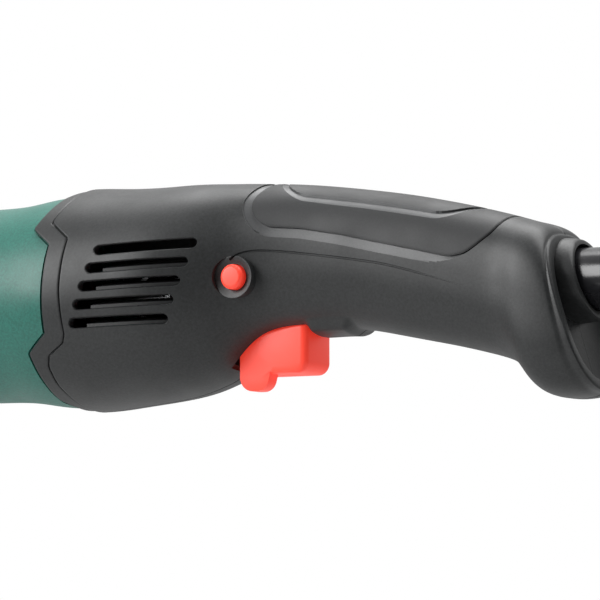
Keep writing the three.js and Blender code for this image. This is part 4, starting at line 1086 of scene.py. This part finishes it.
def make_gearbox():
    body = turned("z", [
        (0, 38, 0), (12, 36.8), (20.5, 31.5), (25.4, 22), (27, 8), (25, -8), (21, -20), (18, -30),
        (18, -46, 0.6), (0, -46, 0),
    ], 128, radius=7.0, steps=6)
    flange = ring("z", 20, 28.2, 6, 10, 128, radius=0.8)
    bosses = [rod("z", 4.2, 2, 12.5, place, 0.7, 40) for place in COVER_SCREWS]
    collar = along_boom(19.4, -63, -52, 1.0)
    body = join(body, flange, along_boom(17, -64, -8, 1.0), along_boom(20, -26, -10, 1.2), collar, *bosses)
    for y in (-10, 0, 10):
        rib = fillet([(-17, 24, 0), (-15, 34), (-6, 39.5), (8, 39.5), (17, 34), (20, 24, 0)], 6, steps=6)
        body = join(body, prism("y", rib, y - 1.1, y + 1.1, 0.4))
    hollow = turned("z", [
        (0, 33.4), (14, 33.4), (19.5, 27), (21.6, 16), (20, 0), (14, -12), (10, -20), (0, -20),
    ], 96)
    drills = [rod("z", 2, 10.6, 20, place, n=24) for place in COVER_SCREWS]
    body = cut(body, hollow, along_boom(BOOM_WAY, -70, -37.7), along_boom(11.4, -40, -10),
               rod("z", 13.3, -50, -25.7, n=96), rod("z", 6.2, -30, -10), *drills)
    fine("gearbox_housing", body, "frame", ALLOY, HEAD)


def make_guard():
    top, low = GUARD_TOP, GUARD_LOW
    dish = turned("z", [
        (19, top + 4, 0), (40, top + 2, 8), (90, top - 3, 12), (118, top - 9, 12), (GUARD_R, top - 22, 12),
        (GUARD_R + 2, low, 0.8), (GUARD_R - 1, low, 0.8), (GUARD_R - 3, top - 23, 9), (117, top - 12, 9),
        (90, top - 6, 12), (40, top - 1, 8), (19, top + 1, 0),
    ], 300, radius=1.0, steps=6)
    bead = [(GUARD_R - 1, low), (GUARD_R + 2, low), (GUARD_R + 2, low + 5), (GUARD_R - 2, low + 5)]
    bead = turned("z", bead, 300, radius=0.8)
    angles = np.radians(np.linspace(114, 246, 40))
    sector = np.vstack([[(-2, 0)], 200 * np.stack([np.cos(angles), np.sin(angles)], -1)])
    shell = common(join(dish, bead), prism("z", sector, -120, -20))
    neck = ring("z", 18.3, 24, -54, -36, 128, radius=1.2)
    shell = join(shell, neck)
    for angle in (138, 159, 180, 201, 222):
        rib = fillet([(20, -58), (20, -42), (60, -45), (112, -56), (112, -60)], 2, steps=3)
        rib = prism("y", rib, -1.5, 1.5, 0.5)
        rib = common(rib, slab((22, 112), (-1.6, 1.6), (top - 1, top + 8)))
        shell = join(shell, spun(rib, angle, "Z"))
    fine("guard", cut(shell, rod("z", 18.3, -120, 0, n=128)), "frame", BLACK, HEAD)
    # The blade's outer end is bent into a foot that is riveted to the guard's skirt.
    blade = [(0, -2.5), (20, -2.5), (32, 4), (38.6, 4), (38.6, 16), (30, 16), (22, 8), (0, 8)]
    blade = prism("z", blade, -1, 1, 0.3)
    w = math.radians(CUTTER_ANGLE)
    reach = GUARD_R - 40
    spun(spun(blade, 90, "X"), CUTTER_ANGLE, "Z")
    blade.data.transform(Matrix.Translation((reach * math.cos(w) + 6, reach * math.sin(w), low + 4)))
    fine("line_cutter", blade, "frame", STEEL, HEAD)


def make_line_head():
    z0, z1 = SPOOL_Z
    cup = turned("z", [
        (0, z1, 0), (22, z1, 3), (38, z1 - 4, 8), (SPOOL_R, z1 - 13, 8), (SPOOL_R, z0 + 4, 3),
        (SPOOL_R - 3, z0, 1), (31, z0, 0.6), (31, z0 + 3, 0.6), (SPOOL_R - 4, z0 + 5, 1),
        (SPOOL_R - 3, z1 - 14, 2), (36, z1 - 8, 2), (20, z1 - 5, 1), (0, z1 - 5, 0),
    ], 160, radius=1.0, steps=6)
    cuts = [rod("z", SPINDLE_R + 0.3, z1 - 10, z1 + 5)]
    cuts += [rod("y", 3.2, *sorted((38 * side, 50 * side)), (0, LINE_Z)) for side in (-1, 1)]
    for i in range(24):
        w = math.radians(i * 15 + 7.5)
        place = ((SPOOL_R + 1.3) * math.cos(w), (SPOOL_R + 1.3) * math.sin(w))
        cuts.append(rod("z", 2.4, z0 - 2, z1 - 18, place, n=24))
    cuts.append(ring("z", 45.2, 48, LINE_Z + 12, LINE_Z + 13, 128))
    fine("spool_housing", cut(cup, *cuts), "cutting_head", BLACK, HEAD)
    spool = turned("z", [
        (14, z1 - 15), (33, z1 - 15), (33, z1 - 17), (18, z1 - 17), (18, z1 - 26), (33, z1 - 26),
        (33, z1 - 28), (18, z1 - 28), (18, z0 + 9), (33, z0 + 9), (33, z0 + 6.6), (7, z0 + 6.6),
        (7, z1 - 27), (14, z1 - 27),
    ], 96)
    fine("line_spool", spool, "tap_knob", NYLON, HEAD)
    knob = turned("z", [
        (0, z0 - 12, 0), (15, z0 - 12, 3), (22, z0 - 10, 6), (27, z0 - 5, 6), (28.6, z0 + 1, 3),
        (28.6, z0 + 5.6, 0.5), (25, z0 + 5.6, 0.5), (25, z0 - 2, 1), (20, z0 - 6, 1), (0, z0 - 6, 0),
    ], 128, radius=1.0, steps=6)
    rings = [ring("z", r, r + 1, z0 - 13, z0 - 11.5) for r in (5, 9)]
    fine("tap_knob", cut(knob, *rings), "tap_knob", BLACK, HEAD)
    spindle = rod("z", SPINDLE_R, z0 + 14, 31, edge=0.5, n=64)
    spindle = join(spindle, rod("z", 12, z1 + 1, z1 + 4, edge=0.4, n=64))
    fine("output_spindle", spindle, "cutting_head", STEEL, HEAD)
    for side, name in ((1, "left"), (-1, "right")):
        sleeve = [(1.5, 41.5), (2.9, 41.5), (2.9, 46.5), (4.2, 46.5), (4.2, 47.9), (1.5, 47.9)]
        sleeve = turned("y", sleeve, 48, (0, LINE_Z), radius=0.3)
        line = rod("y", 1.2, 36, SPOOL_R + 30, (0, LINE_Z), 0.15, 24)
        if side < 0:
            sleeve, line = (flipped(made) for made in (sleeve, line))
        fine("line_eyelet_" + name, sleeve, "cutting_head", STEEL, HEAD)
        fine("line_end_" + name, line, "cutting_head", NYLON, HEAD)


make_shells()
make_inlay()
make_controls()
make_housing()
make_rear_cap()
boom = turned("x", [(12, 140), (12, 1184), (10.5, 1184), (10.5, 140)], radius=0.3)
piece(boom, "boom_tube_painted", "frame", PAINT, "boom_tube")
make_strap_clamp()
make_front_handle()
make_gearbox()
make_guard()
make_line_head()


# ---- Floor ----


def make_floor():
    floor = raw([(-30, -30, 0), (30, -30, 0), (30, 30, 0), (-30, 30, 0)], [(0, 1, 2, 3)], "floor")
    floor.location.z = FLOOR_Z
    material, tree, shader = new_material("floor_white")
    tone = ramp(tree, noise(tree, 3.0), [(0.3, (0.5, 0.5, 0.5)), (0.7, (0.53, 0.53, 0.53))])
    tree.links.new(tone, shader.inputs["Base Color"])
    shader.inputs["Roughness"].default_value = 0.7
    floor.data.materials.append(material)


make_floor()

# ---- Finishes of the CAD nodes that show as they are ----

FINISH = {}
for material, names in [
    (STEEL, "armature_core motor_shaft rear_bearing front_bearing trigger_pin trigger_spring tap_spring"),
    (STEEL, "lock_button_spring shaft_coupling drive_shaft bevel_pinion bevel_gear output_bearing"),
    (DARK_STEEL, "stator_core"), (COPPER, "field_coil_upper field_coil_lower armature_winding"),
    (BARS, "commutator"), (ALLOY, "bearing_bracket"), (CARBON, "carbon_brush_left carbon_brush_right"),
    (CREAM, "cooling_fan switch_plunger shaft_bushing_rear shaft_bushing_front"), (SWITCH, "switch_body"),
]:
    FINISH.update({name: material for name in names.split()})
for name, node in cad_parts.items():
    node.data.materials.clear()
    node.data.materials.append(FINISH.get(name, BLACK))
    node.data.shade_smooth()
    node.data.set_sharp_from_angle(angle=math.radians(35))
